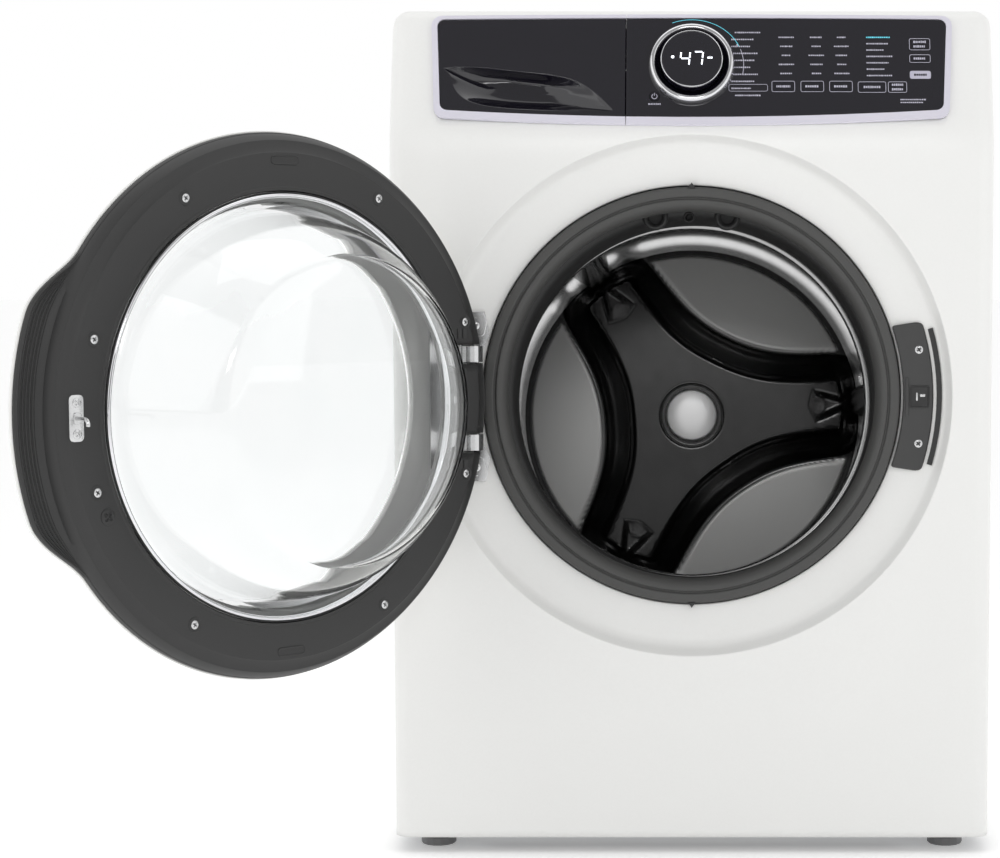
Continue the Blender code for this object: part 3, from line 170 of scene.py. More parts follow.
def turned(profile: Profile, steps: int = 96, closed: bool = False,
           centre: Tuple[float, float] = (0.0, 0.0)) -> Surface:
    """A profile turned about the y axis: x and z are radius times cosine and sine of the angle.

    Args:
        profile: radius and depth of each point.
        steps: columns round the turn.
        closed: whether the profile's end meets its start.
        centre: x and z of the axis.

    Returns:
        The turned surface.
    """
    p = np.array(profile, float)
    angle = np.linspace(0.0, math.tau, steps, endpoint=False)
    x = centre[0] + p[:, :1] * np.cos(angle)
    z = centre[1] + p[:, :1] * np.sin(angle)
    y = np.repeat(p[:, 1:2], steps, axis=1)
    return grid(np.stack([x, y, z], -1), closed, True)


def rounded(corners: Profile, radius: float = 0.0, steps: int = 5,
            radii: Optional[Sequence[float]] = None, closed: bool = True) -> Array:
    """A path whose corners are rounded: each corner point becomes a quadratic curve.

    The curve runs from a point one radius before the corner to one radius after it, with
    the corner as its control point: (1-t)^2 a + 2t(1-t) corner + t^2 b.

    Args:
        corners: the corner points.
        radius: how far from each corner its curve starts.
        steps: points on each curve, less one.
        radii: a reach for each corner, in place of one for all.
        closed: whether the path closes on itself.

    Returns:
        The path as an array of points.
    """
    p = np.array(corners, float)
    reach = np.array(radii if radii is not None else [radius] * len(p), float)
    t = np.linspace(0.0, 1.0, steps + 1)[:, None]
    path: List[Array] = []
    for i, corner in enumerate(p):
        if (not closed and i in (0, len(p) - 1)) or reach[i] <= 0:
            path.append(corner[None])
            continue
        back, on = p[i - 1] - corner, p[(i + 1) % len(p)] - corner
        cap = 0.49
        a = corner + back * min(reach[i] / max(np.linalg.norm(back), 1e-9), cap)
        b = corner + on * min(reach[i] / max(np.linalg.norm(on), 1e-9), cap)
        path.append((1 - t) ** 2 * a + 2 * t * (1 - t) * corner + t ** 2 * b)
    return np.vstack(path)


def side_of(path: Array) -> Array:
    """Unit sideways directions along a closed path, pointing away from its inside.

    Args:
        path: x and z of a closed path.

    Returns:
        A unit direction at each point.
    """
    step = np.roll(path, -1, 0) - np.roll(path, 1, 0)
    length = np.linalg.norm(step, axis=1, keepdims=True)
    step = step / np.where(length > 0, length, 1.0)
    side = np.stack([step[:, 1], -step[:, 0]], -1)
    ahead = np.roll(path, -1, 0)
    area = np.sum(path[:, 0] * ahead[:, 1] - ahead[:, 0] * path[:, 1])
    return side * math.copysign(1.0, area)


def moulded(outline: Array, section: Profile, floor: bool = True) -> Surface:
    """A section carried round an outline: each row is the outline moved outwards by the section.

    Args:
        outline: x and z of the closed outline.
        section: how far out and how deep each row lies, from the back to the front.
        floor: whether the first row is filled by one face, as the last row always is.

    Returns:
        The moulded plate, button or frame.
    """
    side = side_of(outline)
    rows = [np.column_stack([outline[:, 0] + side[:, 0] * out, np.full(len(outline), depth),
                             outline[:, 1] + side[:, 1] * out]) for out, depth in section]
    surface = grid(np.array(rows), False, True)
    count = len(outline)
    last = (len(section) - 1) * count
    faces = list(surface.faces)
    if floor:
        faces.append(list(range(count))[::-1])
    faces.append([last + i for i in range(count)])
    return Surface(surface.points, faces)


def slab(outline: Array, front: float, back: float, edge: float = 0.0006) -> Surface:
    """A plate between two depths, its front edge rolled by a quarter circle.

    Args:
        outline: x and z of the closed outline.
        front: depth of its front face.
        back: depth of its back face.
        edge: radius of the rolled front edge.

    Returns:
        The closed plate.
    """
    turn = np.linspace(0.0, math.pi / 2, 4)
    roll = [(edge * (math.cos(a) - 1), front + edge * (1 - math.sin(a))) for a in turn]
    return moulded(outline, [(0.0, back)] + roll)


def ring_outline(radius: float, steps: int = 48, centre: Tuple[float, float] = (0.0, 0.0),
                 ) -> Array:
    """A circle as an outline."""
    angle = np.linspace(0.0, math.tau, steps, endpoint=False)
    return np.column_stack([centre[0] + radius * np.cos(angle),
                            centre[1] + radius * np.sin(angle)])


def box_outline(x: float, z: float, width: float, height: float, corner: float,
                steps: int = 4) -> Array:
    """A rounded rectangle about a middle point."""
    w, h = width / 2, height / 2
    return rounded([(x - w, z - h), (x + w, z - h), (x + w, z + h), (x - w, z + h)],
                   corner, steps)


def tube(path: Array, radius: float, steps: int = 8, closed: bool = False) -> Surface:
    """A round section carried along a path, each ring square to the path's direction.

    Args:
        path: the points it follows.
        radius: half its thickness.
        steps: points round the section.
        closed: whether the path meets itself.

    Returns:
        The tube, with capped ends where it is open.
    """
    path = np.asarray(path, float)
    along = np.gradient(path, axis=0)
    if closed:
        along = np.roll(path, -1, 0) - np.roll(path, 1, 0)
    along /= np.linalg.norm(along, axis=1, keepdims=True)
    helper = np.where(np.abs(along[:, 1:2]) < 0.9, [[0.0, 1.0, 0.0]], [[1.0, 0.0, 0.0]])
    first = np.cross(along, helper)
    first /= np.linalg.norm(first, axis=1, keepdims=True)
    second = np.cross(along, first)
    angle = np.linspace(0.0, math.tau, steps, endpoint=False)[:, None]
    rings = path[:, None] + radius * (np.cos(angle) * first[:, None] + np.sin(angle) * second[:, None])
    surface = grid(rings, closed, True)
    if not closed:
        last = (len(path) - 1) * steps
        surface.faces += [list(range(steps)), [last + i for i in range(steps)]]
    return surface


def smooth_step(value: Array) -> Array:
    """The usual ease from 0 to 1: 3t^2 - 2t^3."""
    t = np.clip(value, 0.0, 1.0)
    return t * t * (3.0 - 2.0 * t)


def screw(x: float, z: float, y: float, radius: float, steps: int = 24, rise: float = 0.0014,
          facing: float = 1.0) -> Surface:
    """A pan-head screw with a cross recess.

    Depth is a low dome less a cross: the recess is deep where a point lies within a slot's
    half width of either axis and inside the cross's reach.

    Args:
        x: across place of its middle.
        z: up place of its middle.
        y: depth of the face that it is screwed into.
        radius: of its head.
        steps: columns round it.
        rise: height of its dome.
        facing: 1 where the head looks to +y, -1 where it looks to -y.

    Returns:
        The head as one open cap.
    """
    share = np.array([1.0, 0.98, 0.86, 0.66, 0.56, 0.44, 0.30, 0.16, 0.0])[:, None]
    angle = np.linspace(0.0, math.tau, steps, endpoint=False)[None]
    across, up = share * np.cos(angle), share * np.sin(angle)
    dome = np.sqrt(np.clip(1.0 - share ** 2, 0.0, 1.0)) * np.ones_like(angle)
    near = np.minimum(np.abs(across * 0.8 + up * 0.6), np.abs(up * 0.8 - across * 0.6))
    slot = smooth_step((0.17 - near) / 0.08) * smooth_step((0.62 - share) / 0.10)
    height = rise * (0.25 + 0.75 * dome) * (share < 0.99) - slot * rise * 1.1
    return grid(np.stack([x + across * radius, y + facing * height, z + up * radius], -1),
                False, True)


# ---------------------------------------------------------------- finishes
def linear(code: str) -> Tuple[float, float, float, float]:
    """An sRGB hex colour as the linear colour that a shader wants.

    Args:
        code: the colour as a hash sign and six hex digits.

    Returns:
        Red, green, blue and an alpha of 1.
    """
    parts = [int(code[i:i + 2], 16) / 255.0 for i in (1, 3, 5)]
    low = [c / 12.92 if c <= 0.04045 else ((c + 0.055) / 1.055) ** 2.4 for c in parts]
    return (low[0], low[1], low[2], 1.0)


def add(tree: bpy.types.NodeTree, kind: str, settings: Optional[Dict] = None,
        links: Optional[Dict] = None) -> bpy.types.Node:
    """Adds one node with its settings and its incoming links.

    Args:
        tree: the node tree it joins.
        kind: Blender's name for the node.
        settings: node options by name, or socket values by name or number.
        links: for each socket, the node and output that feed it.

    Returns:
        The new node.
    """
    node = tree.nodes.new(kind)
    for key, value in (settings or {}).items():
        if isinstance(key, str) and hasattr(node, key):
            setattr(node, key, value)
        else:
            node.inputs[key].default_value = value
    for key, (source, output) in (links or {}).items():
        tree.links.new(source.outputs[output], node.inputs[key])
    return node


class Pattern(Enum):
    """How a surface was made, which sets the pattern that it carries."""

    ENAMEL = "sprayed and baked, with a faint orange peel"
    MOULDED = "moulded against a spark-eroded tool, with a fine grain"
    POLISHED = "moulded against a polished tool, with a faint ripple"
    BRUSHED = "brushed along one direction"
    SPUN = "turned or spun, with rings about an axis"
    SPANGLE = "hot-dip zinc, with flakes"
    CAST = "cast, with a sandy skin"
    CLEAR = "pressed clear glass, with a faint flow line"
    PERFORATED = "rolled sheet with punched drain holes"


@dataclass(frozen=True)
class Finish:
    """One finish: what it is made of, how it was made and how rough it is.

    The pattern is a noise, a stretched noise, rings or flakes at a size in millimetres. It
    drifts the colour between two near tones, shifts the roughness and feeds the bump.
    """

    name: str
    colour: str
    drift: str
    roughness: float
    pattern: Pattern
    size_mm: float
    bump_mm: float
    metallic: float = 0.0
    ior: float = 1.5
    coat: float = 0.0
    clear: float = 0.0
    centre: Point = (0.0, 0.0, 0.0)
    turn: Point = (0.0, 0.0, 0.0)
    spread: float = 0.06
    glow: float = 0.0
    mask_colour: str = ""
    mask_roughness: float = 0.4

    def masked(self, tree: bpy.types.NodeTree, shader: bpy.types.Node, colour: bpy.types.Node,
               rough: bpy.types.Node) -> None:
        """Where the piece's own mask is 1, the colour and roughness change to the mask's.

        Args:
            tree: the material's node tree.
            shader: its Principled shader.
            colour: the node that gives the plain colour.
            rough: the node that gives the plain roughness.
        """
        mask = add(tree, "ShaderNodeAttribute", {"attribute_name": "mask"})
        tone = add(tree, "ShaderNodeMix", {"data_type": "RGBA", 7: linear(self.mask_colour)},
                   {0: (mask, "Fac"), 6: (colour, 2)})
        tree.links.new(tone.outputs[2], shader.inputs["Base Color"])
        mixed = add(tree, "ShaderNodeMix", {"data_type": "FLOAT", 3: self.mask_roughness},
                    {0: (mask, "Fac"), 2: (rough, 0)})
        tree.links.new(mixed.outputs[0], shader.inputs["Roughness"])

    def texture(self, tree: bpy.types.NodeTree, place: bpy.types.Node) -> bpy.types.Node:
        """The pattern's own texture node, its scale one over its size in metres.

        Args:
            tree: the material's node tree.
            place: the node that gives the place on the piece.

        Returns:
            The node whose first output is the pattern.
        """
        scale = 1.0 / (self.size_mm * MM)
        if self.pattern is Pattern.BRUSHED:
            stretched = add(tree, "ShaderNodeVectorMath", {"operation": "MULTIPLY", 1: (0.03, 1.0, 1.0)},
                            {0: (place, 0)})
            return add(tree, "ShaderNodeTexNoise", {"Scale": scale, "Detail": 3.0},
                       {"Vector": (stretched, 0)})
        if self.pattern is Pattern.SPUN:
            return add(tree, "ShaderNodeTexWave",
                       {"wave_type": "RINGS", "rings_direction": "Y", "Scale": scale / math.tau,
                        "Distortion": 0.6, "Detail": 2.0}, {"Vector": (place, 0)})
        if self.pattern is Pattern.SPANGLE:
            return add(tree, "ShaderNodeTexVoronoi", {"feature": "F1", "Scale": scale},
                       {"Vector": (place, 0)})
        if self.pattern is Pattern.PERFORATED:
            return self.perforation(tree, place, scale)
        detail = 4.0 if self.pattern in (Pattern.MOULDED, Pattern.CAST) else 1.0
        return add(tree, "ShaderNodeTexNoise", {"Scale": scale, "Detail": detail}, {"Vector": (place, 0)})

    @staticmethod
    def perforation(tree: bpy.types.NodeTree, place: bpy.types.Node, scale: float) -> bpy.types.Node:
        """Round holes at the middles of a grid of angle round the y axis by distance along it.

        Args:
            tree: the node tree it joins.
            place: the node that gives the place on the wall.
            scale: rows of holes in a metre.

        Returns:
            A node that is 0 in a hole and 1 on the plain wall.
        """
        axis = add(tree, "ShaderNodeSeparateXYZ", links={0: (place, 0)})
        angle = add(tree, "ShaderNodeMath", {"operation": "ARCTAN2"}, {0: (axis, 2), 1: (axis, 0)})
        column = add(tree, "ShaderNodeMath", {"operation": "MULTIPLY", 1: HOLES_ROUND_DRUM / math.tau},
                     {0: (angle, 0)})
        row = add(tree, "ShaderNodeMath", {"operation": "MULTIPLY", 1: scale}, {0: (axis, 1)})
        flat = add(tree, "ShaderNodeCombineXYZ", links={0: (column, 0), 1: (row, 0)})
        cells = add(tree, "ShaderNodeTexVoronoi", {"Scale": 1.0, "Randomness": 0.0},
                    {"Vector": (flat, 0)})
        # Where this is 0 the wall takes its near-black tone, painted shade in the holes.
        holes = add(tree, "ShaderNodeMapRange", {"From Min": 0.10, "From Max": 0.14}, {0: (cells, 0)})
        plain = add(tree, "ShaderNodeMath", {"operation": "GREATER_THAN", 1: 0.075}, {0: (axis, 1)})
        return add(tree, "ShaderNodeMath", {"operation": "MAXIMUM"}, {0: (holes, 0), 1: (plain, 0)})

    def material(self) -> bpy.types.Material:
        """Builds the node tree once and gives it back after that.

        Returns:
            The material, which pieces with this finish share.
        """
        found = bpy.data.materials.get(self.name)
        if found is not None:
            return found
        made = bpy.data.materials.new(self.name)
        made.use_nodes = True
        tree = made.node_tree
        shader = tree.nodes["Principled BSDF"]
        for key, value in (("Metallic", self.metallic), ("Coat Weight", self.coat),
                           ("Coat Roughness", 0.04), ("Transmission Weight", self.clear)):
            shader.inputs[key].default_value = value
        if self.metallic == 0.0:
            shader.inputs["IOR"].default_value = self.ior
        where = add(tree, "ShaderNodeTexCoord")
        place = add(tree, "ShaderNodeMapping",
                    {"Location": self.centre, "Rotation": self.turn}, {"Vector": (where, "Object")})
        texture = self.texture(tree, place)
        output = "Color" if self.pattern is Pattern.SPANGLE else 0
        broad = add(tree, "ShaderNodeTexNoise", {"Scale": 6.0, "Detail": 2.0}, {"Vector": (place, 0)})
        fine = add(tree, "ShaderNodeMath", {"operation": "MULTIPLY", 1: 0.6}, {0: (texture, output)})
        share = add(tree, "ShaderNodeMath", {"operation": "MULTIPLY_ADD", 1: 0.4},
                    {0: (broad, 0), 2: (fine, 0)})
        colour = add(tree, "ShaderNodeMix",
                     {"data_type": "RGBA", 6: linear(self.colour), 7: linear(self.drift)},
                     {0: (share, 0)})
        tree.links.new(colour.outputs[2], shader.inputs["Base Color"])
        rough = add(tree, "ShaderNodeMapRange",
                    {"To Min": max(self.roughness - self.spread / 2, 0.0),
                     "To Max": self.roughness + self.spread / 2}, {0: (share, 0)})
        tree.links.new(rough.outputs[0], shader.inputs["Roughness"])
        bump = add(tree, "ShaderNodeBump", {"Strength": 1.0, "Distance": self.bump_mm * MM},
                   {"Height": (texture, output)})
        tree.links.new(bump.outputs[0], shader.inputs["Normal"])
        if self.mask_colour:
            self.masked(tree, shader, colour, rough)
        if self.glow > 0.0:
            shader.inputs["Emission Strength"].default_value = self.glow
            shader.inputs["Emission Color"].default_value = linear(self.colour)
        return made


# Low-carbon steel with white polyester enamel: even, pale and satin, with a soft orange peel.
ENAMEL = Finish("white_enamelled_steel", "#f1f1ef", "#ececea", 0.32, Pattern.ENAMEL, 3.0, 0.006)
# Zinc-coated sheet: cool grey flakes a few millimetres across.
ZINC = Finish("galvanised_sheet", "#a3a6a8", "#b9bbbd", 0.42, Pattern.SPANGLE, 7.0, 0.003, metallic=1.0)
# Nickel-plated steel pressings of the hinge and latch: light, with soft highlights.
NICKEL = Finish("nickel_plated_steel", "#c9cacb", "#d6d6d6", 0.26, Pattern.BRUSHED, 0.8, 0.006, metallic=1.0)
# White ABS mouldings of the tray and the door's outer shell.
WHITE_ABS = Finish("white_abs", "#ececea", "#e6e6e3", 0.34, Pattern.MOULDED, 0.8, 0.010, ior=1.53)
# Grey glass-filled polypropylene of the feet and dampers.
GREY_PP = Finish("grey_polypropylene", "#808081", "#767677", 0.50, Pattern.MOULDED, 0.8, 0.03, ior=1.49)
# Charcoal polypropylene of the door frame: fine spark-eroded grain, low sheen.
CHARCOAL = Finish("charcoal_polypropylene", "#282828", "#2f2f2f", 0.48, Pattern.MOULDED, 1.0, 0.035, ior=1.49)
# The lock's cover, a shade lighter than the door frame.
LOCK_GREY = Finish("grey_abs_cover", "#363636", "#3c3c3c", 0.46, Pattern.MOULDED, 1.0, 0.03, ior=1.53)
# Black polycarbonate, polished, with a violet cast and a hard gloss.
GLOSS_BLACK = Finish("gloss_black_polycarbonate", "#0f0d16", "#13111b", 0.10, Pattern.POLISHED, 25.0, 0.002,
                     ior=1.58, coat=0.3, spread=0.03)
# The keys: the same polycarbonate with a finer gloss.
KEY_BLACK = Finish("key_black_polycarbonate", "#100e17", "#14121c", 0.16, Pattern.POLISHED, 20.0, 0.002,
                   ior=1.58, spread=0.03)
# Satin chrome plate on ABS: pale, with a faint lilac cast.
CHROME = Finish("satin_chrome_plate", "#e2dfec", "#eceaf4", 0.34, Pattern.BRUSHED, 0.5, 0.002, metallic=0.35)
# Bright chrome plate of the dial and the ring round the glass.
BRIGHT_CHROME = Finish("bright_chrome_plate", "#d9d9dc", "#e6e6e8", 0.10, Pattern.POLISHED, 18.0, 0.003,
                       metallic=1.0, spread=0.03)
# EPDM seal: mid grey, dusty and soft-looking.
EPDM = Finish("grey_epdm_rubber", "#424241", "#4b4b4a", 0.55, Pattern.MOULDED, 1.4, 0.03, ior=1.50)
# The seal's rubber darkened as painted shade in its inner folds, at its outer edge and on its marks and
# ports.
EPDM_PAINTED_SHADE = Finish("epdm_rubber_painted_shade", "#242424", "#2b2b2b", 0.55, Pattern.MOULDED, 1.4, 0.03, ior=1.50)
# Pressed soda-lime glass of the bowl: clear, with faint flow lines.
GLASS = Finish("pressed_soda_lime_glass", "#ffffff", "#fbfdfd", 0.012, Pattern.CLEAR, 60.0, 0.010,
               ior=1.52, clear=1.0, spread=0.01)
# Polished stainless steel of the drum's ribs and shoulder, its colour darkened as painted shade for the dark
# reflections inside the drum; the mask gives the brushed lens fields a lighter, rougher tone.
STEEL_POLISHED_PAINTED_SHADE = Finish("polished_stainless_steel_painted_shade", "#434343", "#4f4f4f", 0.20, Pattern.POLISHED, 14.0, 0.012,
                        metallic=1.0, mask_colour="#a8a8a7", mask_roughness=0.40)
# The same steel in a pale tone, a painted highlight where the drum's shoulder and wall catch the front light;
# the lifters take it too.
STEEL_PAINTED_HIGHLIGHT = Finish("stainless_steel_painted_highlight", "#d4d4d4", "#c8c8c8", 0.24, Pattern.POLISHED, 14.0, 0.010,
                      metallic=1.0)
# Brushed stainless steel of the hub cap.
STEEL_BRUSHED = Finish("brushed_stainless_steel", "#e2e2e2", "#ededed", 0.42, Pattern.SPUN, 0.9, 0.004,
                       metallic=1.0, centre=(0.0, 0.0, -0.512), turn=(TUB_TILT, 0.0, 0.0))
# Rolled stainless wall with drain holes at about 20 mm centres, the holes drawn as near-black dots: painted
# shade in place of open holes.
STEEL_WALL = Finish("perforated_stainless_steel", "#131313", "#b6b6b6", 0.22, Pattern.PERFORATED, 20.0, 0.3,
                    metallic=1.0, centre=(0.0, 0.0, -0.512), turn=(TUB_TILT, 0.0, 0.0))
# Black EPDM and nylon of beads, wells and plugs; the same black also stands as painted shade in the hinge
# slots and the latch hole.
BLACK_RUBBER = Finish("black_nylon_and_rubber", "#1d1d1d", "#262626", 0.45, Pattern.MOULDED, 1.0, 0.02,
                      ior=1.53)
# Die-cast aluminium of the spider and pulley.
ALUMINIUM = Finish("die_cast_aluminium", "#a2a4a7", "#b0b2b4", 0.48, Pattern.CAST, 1.5, 0.05, metallic=1.0)
# Talc-filled polypropylene of the tub and the tray housing.
TUB_PP = Finish("pale_filled_polypropylene", "#c2c5c5", "#b8bbbb", 0.45, Pattern.MOULDED, 1.2, 0.03, ior=1.49)
# Cast concrete of the counterweight.
CONCRETE = Finish("cast_concrete", "#96938d", "#827f79", 0.88, Pattern.CAST, 3.0, 0.30)
# Lacquered steel of the motor.
MOTOR_STEEL = Finish("lacquered_motor_steel", "#55565a", "#626368", 0.38, Pattern.BRUSHED, 1.0, 0.01,
                     metallic=1.0)
# Ribbed belt rubber.
BELT = Finish("belt_rubber", "#232323", "#2b2b2b", 0.62, Pattern.MOULDED, 1.0, 0.04)
# Solder-masked circuit board.
BOARD = Finish("solder_masked_board", "#1d5a34", "#236a3e", 0.34, Pattern.POLISHED, 6.0, 0.01)
# Printed marks in pale ink and teal ink, each given a faint glow as painted light, and the lit marks of the
# display.
PALE_INK_PAINTED_GLOW = Finish("pale_ink_painted_glow", "#a9a7b6", "#b3b1be", 0.5, Pattern.MOULDED, 0.5, 0.002, glow=0.18)
TEAL_INK_PAINTED_GLOW = Finish("teal_ink_painted_glow", "#5cc6da", "#6ad0e2", 0.5, Pattern.MOULDED, 0.5, 0.002, glow=0.35)
LIT_MARK = Finish("lit_display_mark", "#f2f6ff", "#e9f0ff", 0.4, Pattern.POLISHED, 2.0, 0.002, glow=1.6)
# Laminate of the studio floor.
FLOOR = Finish("matt_studio_floor", "#fafafa", "#f7f7f7", 0.60, Pattern.ENAMEL, 30.0, 0.01, glow=0.25)

SLOT_FINISH: Dict[str, Finish] = {
    "white_enamel": ENAMEL, "galvanised_steel": ZINC, "white_plastic": WHITE_ABS,
    "grey_plastic": GREY_PP, "dark_plastic": CHARCOAL, "fascia_gloss": GLOSS_BLACK,
    "satin_chrome": CHROME, "key_gloss": KEY_BLACK, "gasket_rubber": EPDM,
    "clear_glass": GLASS, "stainless_steel": STEEL_POLISHED_PAINTED_SHADE, "cast_aluminium": ALUMINIUM,
    "tub_plastic": TUB_PP, "concrete": CONCRETE, "motor_steel": MOTOR_STEEL,
    "belt_rubber": BELT, "board_green": BOARD,
}


# ---------------------------------------------------------------- pieces
def mesh_of(name: str, surface: Surface, crease: float = 32.0, outward: bool = True,
            ) -> bpy.types.Mesh:
    """A mesh from a surface: doubles merged, faces turned outwards and shaded smooth.

    Args:
        name: the mesh's name.
        surface: its points and faces.
        crease: edges sharper than this many degrees stay sharp.
        outward: whether faces are turned to point out of a closed shape.

    Returns:
        The finished mesh.
    """
    mesh = bpy.data.meshes.new(name)
    mesh.from_pydata(surface.points.tolist(), [], [list(f) for f in surface.faces])
    if surface.paint is not None:
        mesh.polygons.foreach_set("material_index", np.array(surface.paint, np.int32))
    if surface.mask is not None:
        mask = mesh.attributes.new("mask", "FLOAT", "POINT")
        mask.data.foreach_set("value", surface.mask.astype(np.float32))
    work = bmesh.new()
    work.from_mesh(mesh)
    bmesh.ops.remove_doubles(work, verts=work.verts, dist=1e-6)
    bmesh.ops.dissolve_degenerate(work, dist=1e-7, edges=work.edges)
    if outward:
        bmesh.ops.recalc_face_normals(work, faces=work.faces)
    work.to_mesh(mesh)
    work.free()
    mesh.shade_smooth()
    mesh.set_sharp_from_angle(angle=math.radians(crease))
    return mesh


@dataclass
class SubAssembly:
    """What every sub-assembly shares: a body to ride on and a way to add its pieces."""

    body: str = "cabinet"
    axes: Axes = Axes((0.0, 0.0, 0.0))

    def piece(self, name: str, surface: Surface, finish: Finish | Sequence[Finish],
              slot: str, replaces: Sequence[str] = (), wall: float = 0.0,
              crease: float = 32.0, outward: bool = True, body: Optional[str] = None,
              axes: Optional[Axes] = None) -> bpy.types.Object:
        """Makes one piece, dresses it and puts it on its body.

        Args:
            name: the piece's name.
            surface: its shape in the sub-assembly's axes.
            finish: its finish, or several for painted faces.
            slot: the record's material slot; not used.
            replaces: the CAD nodes that it stands for.
            wall: thickness added inwards by a Solidify modifier, or none.
            crease: edges sharper than this many degrees stay sharp.
            outward: whether faces are turned outwards.
            body: a body other than the sub-assembly's own.
            axes: axes other than the sub-assembly's own.

        Returns:
            The new object.
        """
        mesh = mesh_of(name, surface.placed(axes or self.axes), crease, outward)
        for one in [finish] if isinstance(finish, Finish) else finish:
            mesh.materials.append(one.material())
        made = bpy.data.objects.new(name, mesh)
        bpy.context.scene.collection.objects.link(made)
        if wall > 0.0:
            thick = made.modifiers.new("wall", "SOLIDIFY")
            thick.thickness = wall
            thick.offset = -1.0
        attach(made, body or self.body)
        if replaces:
            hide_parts(*replaces)
        LOG.info("%s: %d faces on %s", name, len(mesh.polygons), body or self.body)
        return made

    @staticmethod
    def dress(node: str, finish: Finish) -> None:
        """Gives a carried CAD node one finish.

        Args:
            node: the node's name.
            finish: the finish that it gets.
        """
        slots = frame["nodes"][node].data.materials
        slots.clear()
        slots.append(finish.material())
        LOG.info("%s: carried, in %s", node, finish.name)


def dress_frame() -> None:
    """Gives every carried CAD node the finish of its material slot."""
    for part in frame["record"]["subparts"]:
        finish = NICKEL if part["node"].startswith("hinge") else SLOT_FINISH[part["material_slot"]]
        SubAssembly.dress(part["node"], finish)


